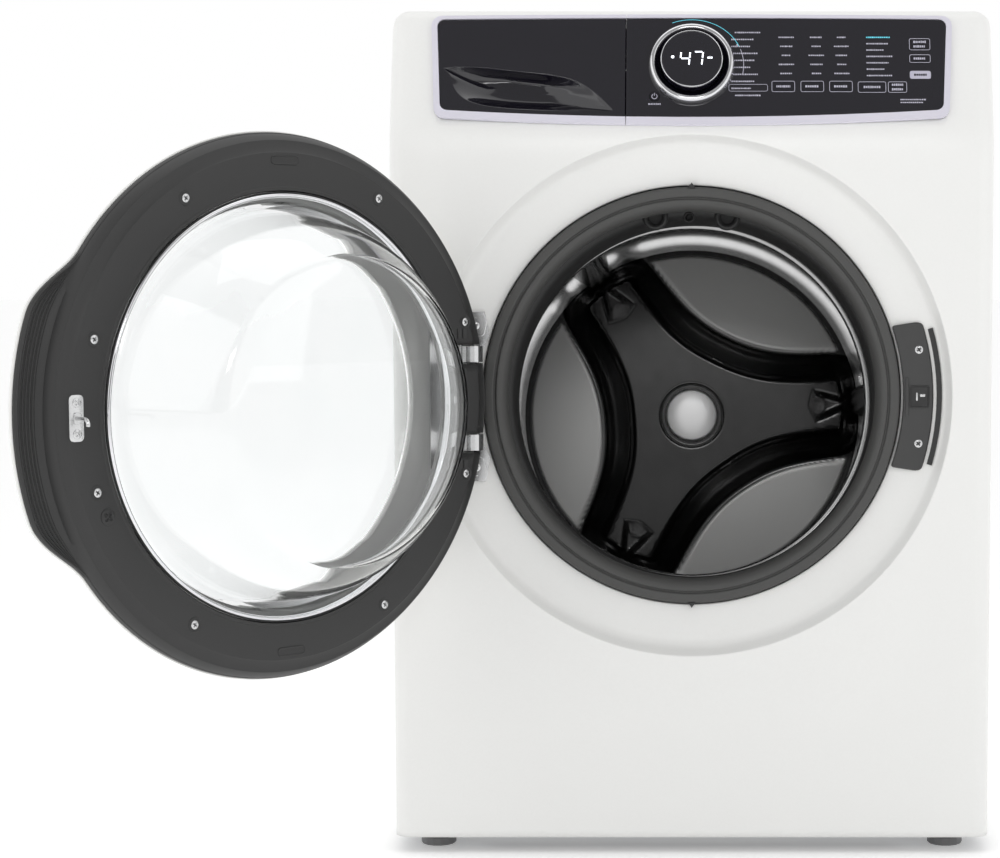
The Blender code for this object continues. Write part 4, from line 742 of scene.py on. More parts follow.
# ---------------------------------------------------------------- drum and seal
@dataclass
class Drum(SubAssembly):
    """The steel drum: a back pressed with a three-armed star, a shoulder, a wrapper and a hub cap."""

    body: str = "drum"
    axes: Axes = TUB_AXES
    radius: float = 0.2608
    floor_depth: float = 0.496
    star_height: float = 0.034
    arm_half_width: float = 0.070
    crest_half_width: float = 0.0375
    lens_radius: float = 0.216
    shoulder_start: float = 0.222
    shoulder_rise: float = 0.036
    mouth_radius: float = 0.206
    front_depth: float = 0.122
    hub_radius: float = 0.0356
    bead_height: float = 0.003
    lens_edge: float = 0.004

    def arm_distance(self, radius: Array, angle: Array) -> Array:
        """Distance to the nearest arm's middle line, blended where two arms meet.

        For each arm the distance to its ray is taken; the blend is minus the logarithm of the
        summed exponentials, which rounds the corners between the arms.

        Args:
            radius: distance from the hub.
            angle: angle from the x axis.

        Returns:
            The blended distance.
        """
        sharpness = 30.0
        total = np.zeros(np.broadcast(radius, angle).shape)
        for arm in range(3):
            off = angle - STAR_PHASE - math.tau * arm / 3
            behind = np.minimum(radius * np.cos(off), 0.0)
            away = np.hypot(radius * np.sin(off), behind)
            total = total + np.exp(-sharpness * away)
        return -np.log(total) / sharpness

    def lens(self, radius: Array, angle: Array) -> Array:
        """1 on the brushed lens fields between the arms, eased to 0 over their edge."""
        off = self.arm_distance(radius, angle) - self.arm_half_width
        return smooth_step(off / self.lens_edge) * smooth_step((self.lens_radius - radius) / self.lens_edge)

    def height(self, radius: Array, angle: Array) -> Array:
        """How far the back stands forward of its floor.

        A star with a flat crest, a bead along the crest's edge and a wall that eases into a
        narrow groove round each lens; each arm's end has a trough that widens outwards.

        Args:
            radius: distance from the hub.
            angle: angle from the x axis.

        Returns:
            The height at each point.
        """
        away = self.arm_distance(radius, angle)
        crest = self.crest_half_width
        wall = (away - crest) / (self.arm_half_width - crest)
        star = (self.star_height - self.bead_height) \
            * np.minimum(2.0 - 2.0 * smooth_step(0.5 + wall / 2), 1.0)
        bead = self.bead_height * (1.0 - smooth_step((away - crest + 0.0065) / 0.0035))
        groove = 0.0018 * (self.lens(radius, angle) - 1.0) * smooth_step((wall - 0.7) / 0.2)
        half = np.interp(radius, (0.155, 0.165, 0.203, 0.222), (0.0, 0.0190, 0.0050, 0.0085))
        trough = 0.0045 * smooth_step((radius - 0.150) / 0.030) \
            * smooth_step((half - away) / 0.0090 + 0.3)
        seat = 0.0025 * smooth_step((0.0425 - radius) / 0.002)
        return np.maximum(star, 0.0) + bead + groove - trough - seat

    def back(self) -> Surface:
        """The pressed back and its shoulder, which curves forward in a quarter of an ellipse.

        Returns:
            The back, its faces from where the shoulder starts given the painted highlight, and masked on the
            lens fields.
        """
        angle = np.linspace(0.0, math.tau, 300, endpoint=False)[None]
        radius = np.linspace(0.0, self.shoulder_start, 112)[:, None]
        level = self.floor_depth - self.height(radius, angle) \
            * (1.0 - 0.75 * smooth_step((radius - 0.196) / 0.026))
        lens = self.lens(radius, angle)
        turn = np.linspace(0.0, math.pi / 2, 12)[1:, None]
        run = self.radius - self.shoulder_start
        rise = self.shoulder_rise * (1.0 - np.cos(turn)) - 0.002 * np.sin(turn * 2)
        ring_radius = self.shoulder_start + run * np.sin(turn)
        radius_all = np.vstack([radius * np.ones_like(angle), ring_radius * np.ones_like(angle)])
        level_all = np.vstack([level, level[-1:] - rise * np.ones_like(angle)])
        surface = grid(np.stack([radius_all * np.cos(angle), level_all, radius_all * np.sin(angle)], -1),
                       False, True)
        # The mask lightens the lens fields; the rest of the back keeps the steel darkened as painted shade.
        surface.mask = np.vstack([lens, np.zeros((len(turn), angle.shape[1]))]).ravel()
        # Faces from the shoulder's start take the second finish, the pale steel as painted highlight.
        rows = len(radius_all) - 1
        shoulder = np.arange(rows) >= len(radius) - 1
        surface.paint = np.repeat(shoulder.astype(int), angle.shape[1]).tolist()
        return surface.flipped()

    def wrapper(self) -> Surface:
        """The rolled wrapper and its front flange, down to the mouth's rolled lip.

        Returns:
            The wrapper as an open sheet.
        """
        front, mouth, side = self.front_depth, self.mouth_radius, self.radius + 0.0008
        path = rounded([(mouth + 0.0045, front + 0.009), (mouth, front + 0.006), (mouth + 0.002, front),
                        (side - 0.018, front + 0.004), (side, front + 0.024), (side, 0.4995)],
                       0.006, 4, closed=False)
        return turned(path, 144)

    def lifter(self, number: int) -> Surface:
        """One lifter: a ridge whose section is a bell, lower and narrower at its front end.

        Args:
            number: which of the three it is.

        Returns:
            The lifter, closed at both ends.
        """
        base = self.radius - 0.0045
        along = np.linspace(0.0, 1.0, 33)[:, None]
        across = np.linspace(-1.0, 1.0, 41)[None]
        ends = np.minimum(smooth_step(along / 0.10), smooth_step((1.0 - along) / 0.06))
        tall = 0.046 * ends * (0.72 + 0.28 * along) + 0.0005
        wide = 0.037 * (0.80 + 0.20 * along)
        bell = (1.0 - smooth_step((np.abs(across) - 0.30) / 0.70)) ** 0.8
        bell = bell + 0.03 * np.cos(across * math.pi * 5.0) * (np.abs(across) < 0.3)
        depth = 0.160 + 0.296 * along * np.ones_like(across)
        radial = base - tall * bell
        side = wide * across * np.ones_like(along)
        turn = STAR_PHASE + math.tau * number / 3
        x = radial * math.cos(turn) - side * math.sin(turn)
        z = radial * math.sin(turn) + side * math.cos(turn)
        top = np.stack([x, depth, z], -1)
        edge = side * 0.999
        under_x = base * math.cos(turn) - edge * math.sin(turn)
        under_z = base * math.sin(turn) + edge * math.cos(turn)
        under = np.stack([under_x, depth, under_z], -1)
        return joined([grid(top), grid(under[:, ::-1])])

    def hub(self) -> Surface:
        """The domed hub cap: a low dome with a rolled edge.

        Returns:
            The cap, turned about the drum's axis.
        """
        r, face = self.hub_radius, self.floor_depth - self.star_height - 0.0003
        path = rounded([(0.0, face - 0.0080), (r * 0.55, face - 0.0074), (r - 0.0016, face - 0.0046),
                        (r, face - 0.0004), (r - 0.0004, face), (0.0, face)],
                       0.0, 5, radii=(0, 0.006, 0.003, 0.0008, 0, 0), closed=False)
        return turned(path, 96)

    def build(self) -> None:
        """Builds the drum's pieces."""
        # The back takes the darkened steel as painted shade, and the pale steel as painted highlight on its
        # shoulder.
        self.piece("drum_pressed_back", self.back(), (STEEL_POLISHED_PAINTED_SHADE, STEEL_PAINTED_HIGHLIGHT), "stainless_steel",
                   ("drum_back",), crease=50.0, outward=False)
        self.piece("drum_rolled_wrapper", self.wrapper(), STEEL_WALL, "stainless_steel",
                   ("drum_wrapper",), wall=0.0009, outward=False)
        # The lifters take the pale steel, a painted highlight.
        for number in range(3):
            self.piece(f"drum_ridge_lifter_{number + 1}", self.lifter(number), STEEL_PAINTED_HIGHLIGHT,
                       "stainless_steel", (f"drum_lifter_{number + 1}",))
        self.piece("drum_domed_hub_cap", self.hub(), STEEL_BRUSHED, "stainless_steel", ("drum_hub_cap",))


@dataclass
class Seal(SubAssembly):
    """The rubber seal: two face bands with a groove between them, and folds behind darkened as painted shade.
    """

    axes: Axes = CABINET_AXES
    back_depth: float = 0.1328
    fold_start: float = 0.030

    def profile(self) -> Array:
        """Radius and depth of the seal's skin, from its outer edge in to the tub's neck."""
        corners = [(0.2385, 0.0245), (0.2385, 0.0196), (0.2362, 0.0178), (0.2278, 0.0170),
                   (0.2262, 0.0196), (0.2250, 0.0196), (0.2236, 0.0168), (0.2180, 0.0182),
                   (0.2128, 0.0240), (0.2108, 0.0310), (0.2105, 0.0372), (0.2140, 0.0470),
                   (0.2285, 0.0585), (0.2300, 0.0700), (0.2190, 0.0745), (0.2105, 0.0790),
                   (0.2075, 0.0870), (0.2065, 0.0990), (0.2065, self.back_depth - 0.020),
                   (0.2225, self.back_depth)]
        return rounded(corners, 0.0, 4, closed=False,
                       radii=[0, .0012, .0012, .0010, .0006, .0006, .0014, .003, .004, .004, .003,
                              .006, .006, .006, .004, .004, .004, .004, .006, 0])

    def skin(self) -> Surface:
        """The profile turned round the door's centre; behind the face it leans and sinks with the tub.

        The lean's share eases from none at the face to all at the neck: depth gains the share's
        sine times height, and height loses the tub's drop at that depth.

        Returns:
            The seal's skin as an open sheet, its folds and outer edge darkened as painted shade.
        """
        path = self.profile()
        angle = np.linspace(0.0, math.tau, 240, endpoint=False)[None]
        radius, depth = path[:, :1], path[:, 1:]
        share = smooth_step((depth - self.fold_start) / (self.back_depth - self.fold_start))
        sink = math.sin(TUB_TILT) * (depth - 0.026) * share
        x = radius * np.cos(angle) + 0.004 * share
        z = radius * np.sin(angle) - sink - 0.004 * share
        y = depth + np.sin(TUB_TILT * share) * radius * np.sin(angle)
        surface = grid(np.stack([x, y, z], -1), False, True)
        # Faces deep in the folds and the first rows at the outer edge take the darker rubber, painted shade.
        dark = (path[:-1, 1] > 0.0355).astype(int)
        dark[:4] = 1
        surface.paint = np.repeat(dark, angle.shape[1]).tolist()
        return surface

    def arrow(self, side: int) -> Surface:
        """A small fitting mark on the seal's outer edge, above or below.

        Args:
            side: 1 for the top mark, -1 for the bottom one.

        Returns:
            The mark as a small plate.
        """
        tip, root = 0.2435, 0.2372
        outline = np.array([(-0.0045, side * root), (0.0045, side * root), (0.0, side * tip)])
        return slab(outline, 0.0172, 0.0215, 0.0004)

    def port(self, x: float, radius: float) -> Surface:
        """A round spray port in the roof of the seal's fold, with a rolled lip and a deep bore."""
        path = rounded([(0.0, 0.058), (radius * 0.55, 0.058), (radius * 0.55, 0.050), (radius * 0.8, 0.0465),
                        (radius, 0.050), (radius, 0.062)], 0.0015, 3, closed=False)
        return turned(path, 28, centre=(x, 0.2045))

    def build(self) -> None:
        """Builds the seal and its small moulded marks and ports."""
        self.piece("door_bellows_seal", self.skin(), (EPDM, EPDM_PAINTED_SHADE), "gasket_rubber", ("door_gasket",),
                   wall=0.0022, outward=False)
        # The marks and ports take the same darkened rubber, painted shade.
        for side, name in ((1, "top"), (-1, "bottom")):
            self.piece(f"seal_mark_{name}", self.arrow(side), EPDM_PAINTED_SHADE, "gasket_rubber")
        for x, radius, name in ((-0.042, 0.0150, "left"), (0.041, 0.0150, "right"),
                                (-0.003, 0.0065, "middle")):
            self.piece(f"seal_port_{name}", self.port(x, radius), EPDM_PAINTED_SHADE, "gasket_rubber")


# ---------------------------------------------------------------- door
@dataclass
class Door(SubAssembly):
    """The swung-open door: charcoal inner frame, white outer shell, glass bowl, rings and latch."""

    body: str = "door"
    axes: Axes = field(default_factory=opened_door_axes)
    reach: float = 0.0275
    half_angle: float = math.radians(19.0)
    blend_angle: float = math.radians(16.0)
    face: float = 0.014
    notch_x: float = -0.2275
    notch_low: float = 0.039
    notch_high: float = 0.061
    strike_x: float = 0.2605
    ring_screws: Profile = ((0.2515, 60.0), (0.2545, 119.5), (0.2495, 18.0), (0.2485, -17.6),
                            (0.2510, -60.5), (0.2550, -120.0))
    hinge_screws: Profile = ((-0.2475, 0.0865), (-0.2455, 0.0), (-0.2475, -0.0835))

    def bulge(self, angle: Array) -> Array:
        """Share of the handle's bulge at an angle: 1 across the handle, eased to 0 beside it."""
        off = np.abs((angle + math.pi) % math.tau - math.pi)
        return smooth_step((self.half_angle + self.blend_angle - off) / self.blend_angle)

    def angles(self, radius: Array) -> Array:
        """Column angles at each radius, as rows by columns.

        Beside the hinge the columns are level lines, so the notches have straight sides: the
        angle is a half turn less the arcsine of height over radius. From there on they spread
        evenly round to the handle.

        Args:
            radius: each row's radius.

        Returns:
            The angles, which run once round the door.
        """
        level = np.array([0.0, 0.010, 0.020, 0.030, self.notch_low, 0.0445, 0.050, 0.0555,
                          self.notch_high, 0.068])
        near = np.arcsin(level / radius[:, None])
        start = np.arcsin(0.075 / radius)[:, None]
        rest = start + (math.pi - start) * np.linspace(0.0, 1.0, 150)[None]
        half = np.hstack([near, rest])
        return np.hstack([math.pi - half, math.pi + half[:, -2:0:-1]])

    def carried(self, rows: Array) -> Surface:
        """A section carried round the door.

        Each row holds a radius, the share of the handle's reach added to it, a depth and the
        depth added at the handle.

        Args:
            rows: the rows, as an array of four columns.

        Returns:
            The section carried round, its faces turned out of the door.
        """
        angle = self.angles(rows[:, 0])
        bulge = self.bulge(angle)
        radius = rows[:, :1] + rows[:, 1:2] * self.reach * bulge
        depth = rows[:, 2:3] + rows[:, 3:4] * bulge
        points = np.stack([radius * np.cos(angle), depth, radius * np.sin(angle)], -1)
        return grid(points, False, True).flipped()

    def notched(self, surface: Surface) -> Surface:
        """The surface without the faces that lie in the two hinge notches.

        Args:
            surface: the door frame's surface.

        Returns:
            What is left of it.
        """
        middle = surface.points[np.array(surface.faces)].mean(1)
        high = np.abs(middle[:, 2])
        cut = (middle[:, 0] < self.notch_x) & (high > self.notch_low) & (high < self.notch_high)
        return Surface(surface.points, [f for f, gone in zip(surface.faces, cut) if not gone])

    def frame_face(self) -> Surface:
        """The charcoal frame: lip, flat, sloped rim and, at the handle, a ribbed grip shelf.

        Returns:
            The frame as an open sheet, notched for the hinge arms.
        """
        rows = [(0.2265, 0, 0.0062, 0), (0.2270, 0, 0.0126, 0), (0.2280, 0, 0.0150, 0),
                (0.2310, 0, 0.0150, 0), (0.2322, 0, 0.0140, 0), (0.2650, 0, 0.0140, 0),
                (0.2675, 0, 0.0136, 0), (0.2690, 0, 0.0122, 0), (0.2790, 0, 0.0086, 0),
                (0.2804, 0, 0.0086, 0), (0.2816, 0, 0.0074, 0), (0.2850, 0.0, 0.0024, -0.0010),
                (0.2868, 0.0, -0.0008, -0.0028), (0.2874, 0.10, -0.0026, -0.0026),
                (0.2876, 0.20, -0.0032, -0.0046)]
        share = np.linspace(0.24, 0.80, 29)
        ribs = [(0.2876 + 0.0006 * s, s, -0.0034, -0.0050 + 0.0009 * math.cos((s - 0.24) / 0.14 * math.tau))
                for s in share]
        rows += ribs
        rows += [(0.2882, 0.84, -0.0036, -0.0046), (0.2884, 0.90, -0.0040, -0.0020),
                 (0.2886, 0.95, -0.0046, -0.0016), (0.2889, 1.0, -0.0058, -0.0016),
                 (0.2890, 1.0, -0.0072, -0.0010), (0.2890, 1.0, -0.0103, 0)]
        return self.notched(self.carried(np.array(rows, float)))

    def shell(self) -> Surface:
        """The white outer shell: rim, shoulder and dish down to the outer window."""
        corners = [(0.2903, 1, -0.0107, 0), (0.2903, 1, -0.0160, 0), (0.2815, 1, -0.0260, 0),
                   (0.2640, 0.9, -0.0355, 0), (0.2410, 0, -0.0432, 0), (0.2130, 0, -0.0450, 0),
                   (0.2082, 0, -0.0440, 0), (0.2080, 0, -0.0330, 0)]
        return self.carried(rounded(corners, 0.012, 5, closed=False))

    def bowl(self) -> Surface:
        """The pressed bowl: outside and inside walls joined by the flange.

        Returns:
            The bowl as one closed turned shape.
        """
        outer = rounded([(0.2243, 0.0062), (0.2243, 0.0104), (0.2150, 0.0116), (0.2050, 0.0340),
                         (0.1900, 0.0760), (0.1680, 0.1080), (0.1560, 0.1230), (0.0, 0.1280)],
                        0.0, 8, closed=False, radii=(0, .002, .008, .015, .020, .018, .020, 0))
        inner = rounded([(0.0, 0.1240), (0.1530, 0.1192), (0.1640, 0.1055), (0.1860, 0.0748),
                         (0.2010, 0.0330), (0.2110, 0.0102), (0.2180, 0.0062)],
                        0.0, 8, closed=False, radii=(0, .020, .018, .020, .015, .008, 0))
        return turned(np.vstack([inner, outer]), 192, closed=True)

    def chrome_ring(self) -> Surface:
        """The bright ring round the glass: a round bead on a flat foot.

        Returns:
            The ring as one closed turned shape.
        """
        turn = np.linspace(0.0, math.pi, 13)
        bead = [(0.2229 + 0.0026 * math.cos(a), 0.0138 + 0.0036 * math.sin(a)) for a in turn]
        return turned([(0.2203, 0.0114), (0.2255, 0.0114)] + bead, 192, closed=True)

    def dark_bead(self) -> Surface:
        """The thin black sealing bead between the ring and the frame."""
        turn = np.linspace(0.0, math.tau, 10, endpoint=False)
        return turned([(0.2261 + 0.0006 * math.cos(a), 0.0150 + 0.0010 * math.sin(a)) for a in turn],
                      160, closed=True)

    def window(self) -> Surface:
        """The outer window: a thin dished pane.

        Returns:
            The pane as one closed turned shape.
        """
        front = [(0.0, -0.0440), (0.0700, -0.0434), (0.1300, -0.0420), (0.1800, -0.0400), (0.2050, -0.0390)]
        back = [(0.2050, -0.0360), (0.1800, -0.0370), (0.1300, -0.0390), (0.0700, -0.0404), (0.0, -0.0410)]
        return turned(front + back, 128, closed=True)

    def well(self, x: float, z: float) -> Surface:
        """The dished seat round a screw: a ring that sinks towards the head.

        Args:
            x: across place of the screw.
            z: up place of the screw.

        Returns:
            The ring round the screw.
        """
        f = self.face
        path = [(0.0082, f - 0.0002), (0.0078, f + 0.0004), (0.0070, f + 0.0005), (0.0058, f + 0.0002),
                (0.0050, f - 0.0002)]
        return turned(path, 28, centre=(x, z))

    def pocket(self, z: float) -> Surface:
        """A long oval pocket with a raised rim, above or below the glass.

        Args:
            z: its height above the door's centre.

        Returns:
            The pocket's rim and floor.
        """
        f = self.face
        outline = box_outline(0.0, z, 0.034, 0.0072, 0.0036, 6)
        return moulded(outline, [(0.0018, f - 0.0004), (0.0012, f + 0.0006), (0.0004, f + 0.0007),
                                 (-0.0006, f + 0.0001), (-0.0010, f + 0.0001)], floor=False)

    def strike(self) -> Surface:
        """The latch strike: a rounded plate with a raised middle and a hooked finger.

        Returns:
            The plate, its middle and its finger as one surface.
        """
        x, f = self.strike_x, self.face + 0.0003
        turn = np.linspace(0.0, math.pi * 0.6, 9)
        finger = [(x, f, 0.0), (x, f + 0.010, 0.0), (x, f + 0.0165, -0.0002)]
        finger += [(x, f + 0.0165 + 0.0052 * math.sin(a), -0.0054 + 0.0052 * math.cos(a)) for a in turn]
        plate = moulded(box_outline(x, 0.0, 0.0165, 0.047, 0.0060, 6),
                        [(0.0, f), (0.0, f + 0.0014), (-0.0004, f + 0.0020), (-0.0010, f + 0.0022)])
        boss = moulded(box_outline(x, 0.0, 0.0088, 0.012, 0.0030, 5),
                       [(0.0, f + 0.0020), (-0.0004, f + 0.0036), (-0.0010, f + 0.0040)])
        return joined([plate, boss, tube(np.array(finger), 0.0021, 10)])

    def build(self) -> None:
        """Builds the door's pieces."""
        self.piece("door_charcoal_frame", self.frame_face(), CHARCOAL, "dark_plastic",
                   ("door_inner_frame",), wall=0.0022, outward=False, crease=28.0)
        self.piece("door_white_shell", self.shell(), WHITE_ABS, "white_plastic",
                   ("door_outer_cover",), wall=0.0022, outward=False)
        self.piece("door_bowl_glass", self.bowl(), GLASS, "clear_glass", ("door_glass_bowl",))
        self.piece("door_bright_ring", self.chrome_ring(), BRIGHT_CHROME, "satin_chrome",
                   ("door_glass_ring",))
        self.piece("door_black_bead", self.dark_bead(), BLACK_RUBBER, "gasket_rubber")
        self.piece("door_front_window", self.window(), GLASS, "clear_glass",
                   ("door_outer_window",))
        places = [(r * math.cos(math.radians(a)), r * math.sin(math.radians(a)))
                  for r, a in self.ring_screws]
        places += list(self.hinge_screws)
        self.piece("door_screw_wells", joined([self.well(x, z) for x, z in places]),
                   BLACK_RUBBER, "dark_plastic", outward=False)
        heads = [screw(x, z, self.face - 0.0001, 0.0046) for x, z in places]
        heads += [screw(self.strike_x, z, self.face + 0.0024, 0.0050) for z in (0.0155, -0.0155)]
        self.piece("door_screw_heads", joined(heads), NICKEL, "galvanised_steel", outward=False)
        self.piece("door_oval_pockets", joined([self.pocket(z) for z in (0.2595, -0.2585)]),
                   BLACK_RUBBER, "dark_plastic", outward=False)
        self.piece("door_round_plug", screw(0.2254, -0.0999, self.face, 0.0085, 36, 0.0016),
                   BLACK_RUBBER, "dark_plastic", outward=False)
        self.piece("door_latch_strike", self.strike(), NICKEL, "galvanised_steel",
                   ("door_latch_hook",))


# ---------------------------------------------------------------- cabinet
@dataclass
class Cabinet(SubAssembly):
    """The enamelled cabinet: the pressed front sheet with its round recess, and the bare sides."""

    front: float = -0.360
    half_width: float = 0.343
    bottom: float = 0.004
    top: float = 0.952
    side_radius: float = 0.020
    roll_radius: float = 0.012
    lean_start: float = 0.805
    ease: float = 0.020
    patch: float = 0.300
    hole_half: float = 0.2862
    hole_low: float = 0.8278
    hole_high: float = 0.9310
    sheet: float = 0.0008

    @property
    def wrap(self) -> float:
        """Depth at which the top panel takes over from the front sheet."""
        return self.front + (self.top - self.lean_start) * math.tan(CONSOLE_LEAN) + self.roll_radius

    def depth(self, z: Array) -> Array:
        """Depth of the front at a height: upright, eased by a parabola into the lean, rolled at the top.

        Args:
            z: the heights, in the frame's axes.

        Returns:
            The front sheet's depth at each height.
        """
        rise = z - self.lean_start
        eased = (rise + self.ease) ** 2 / (4 * self.ease)
        leaned = np.where(rise <= -self.ease, 0.0, np.where(rise < self.ease, eased, rise))
        roll = np.clip(z - (self.top - self.roll_radius), 0.0, self.roll_radius)
        rolled = self.roll_radius - np.sqrt(np.maximum(self.roll_radius ** 2 - roll ** 2, 0.0))
        return np.minimum(self.front + leaned * math.tan(CONSOLE_LEAN) + rolled, self.wrap - 0.0008)

    def emboss(self, x: Array, z: Array) -> Array:
        """A shallow raised field under the door, with a rounded, tapering foot.

        Its edge is where a fourth-power ellipse about the door's centre reaches 1.
        """
        oval = (np.abs(x) / (0.252 + 0.10 * (z - 0.10))) ** 5 + (np.abs(z - 0.512) / 0.392) ** 5
        return -0.0016 * smooth_step((1.0 - oval) / 0.55) * smooth_step((0.47 - z) / 0.22)

    def section(self, z: float, columns: Array) -> Array:
        """One level row: return, corner arc, flat columns, arc and return.

        Args:
            z: height of the row.
            columns: across places of its flat part.

        Returns:
            The row's points, from left to right.
        """
        y = float(self.depth(np.array(z)))
        into = max(z - (self.top - self.side_radius), 0.0)
        half = self.half_width - self.side_radius + math.sqrt(max(self.side_radius ** 2 - into ** 2, 0.0))
        radius = max(min(self.side_radius, self.wrap - y - 0.0005), 0.0006)
        turn = np.linspace(0.0, math.pi / 2, 9)
        arc = np.column_stack([half - radius + radius * np.sin(turn), y + radius - radius * np.cos(turn)])
        right = np.vstack([arc, [[half, self.wrap]]])
        flat = np.column_stack([columns, np.full(len(columns), y)])
        flat[:, 1] += self.emboss(columns, np.full(len(columns), z))
        left = right[::-1] * [-1.0, 1.0]
        row = np.vstack([left, flat, right])
        return np.column_stack([row, np.full(len(row), z)])

    def sheet_front(self) -> Surface:
        """The front sheet: strips of level rows, and round the door a square that closes on a circle.

        Returns:
            The whole front sheet as an open sheet.
        """
        p, z0 = self.patch, DOOR_CENTRE[2]
        columns = np.unique(np.round(np.append(np.linspace(-p, p, 65), [-self.hole_half, self.hole_half]), 7))
        middle = np.linspace(z0 - p, z0 + p, 65)
        low = np.linspace(self.bottom, z0 - p, 26)[:-1]
        roll = self.top - self.roll_radius * (1.0 - np.sin(np.linspace(0.0, math.pi / 2, 8)))
        high = np.concatenate([[0.818, self.hole_low, 0.850, 0.880, 0.910, self.hole_high], roll])
        levels = np.concatenate([low, middle, high])
        surface = grid(np.array([self.section(float(z), columns) for z in levels]))
        centre = surface.points[np.array(surface.faces)].mean(1)
        in_patch = (np.abs(centre[:, 0]) < p) & (np.abs(centre[:, 2] - z0) < p)
        in_hole = (np.abs(centre[:, 0]) < self.hole_half) & (centre[:, 2] > self.hole_low) \
            & (centre[:, 2] < self.hole_high)
        faces = [f for f, gone in zip(surface.faces, in_patch | in_hole) if not gone]
        return joined([Surface(surface.points, faces), self.recess(columns, middle)])

    def recess(self, columns: Array, levels: Array) -> Surface:
        """The square patch: rows shrink from its edge to the recess's rim, then follow the dish.

        Each edge point moves straight towards the door's centre; the dish's depth is a profile
        of radius, and the front's lean fades out across it.

        Args:
            columns: across places along the patch's upper and lower edges.
            levels: heights along its left and right edges.

        Returns:
            The patch, open where the door seal sits.
        """
        z0 = DOOR_CENTRE[2]
        p = self.patch
        x = np.concatenate([np.full(64, p), columns[::-1][:-1], np.full(64, -p), columns[:-1]])
        z = np.concatenate([levels[:-1], np.full(len(columns) - 1, z0 + p), levels[::-1][:-1],
                            np.full(len(columns) - 1, z0 - p)])
        away = np.hypot(x, z - z0)
        dish = rounded([(0.2988, 0.0), (0.2966, 0.0), (0.2900, 0.0150), (0.2830, 0.0190),
                        (0.2400, 0.0258), (0.2398, 0.0340)], 0.0, 6, closed=False,
                       radii=(0, .0020, .006, .006, .002, 0))
        share = np.linspace(0.0, 1.0, 9)[:, None]
        outside = away + (dish[0, 0] - away) * share
        radius = np.vstack([outside, np.repeat(dish[1:, :1], len(x), 1)])
        extra = np.vstack([np.zeros_like(outside), np.repeat(dish[1:, 1:], len(x), 1)])
        px, pz = radius * x / away, radius * (z - z0) / away
        fade = smooth_step((radius - 0.272) / 0.024)
        y = self.front + (self.depth(pz + z0) - self.front + self.emboss(px, pz + z0)) * fade + extra
        return grid(np.stack([px, y, pz + z0], -1), False, True)

    def build(self) -> None:
        """Builds the front sheet; the sides, top and back are carried over."""
        self.piece("enamelled_front", self.sheet_front(), ENAMEL, "white_enamel", ("front_panel",),
                   wall=self.sheet, outward=False, crease=40.0)


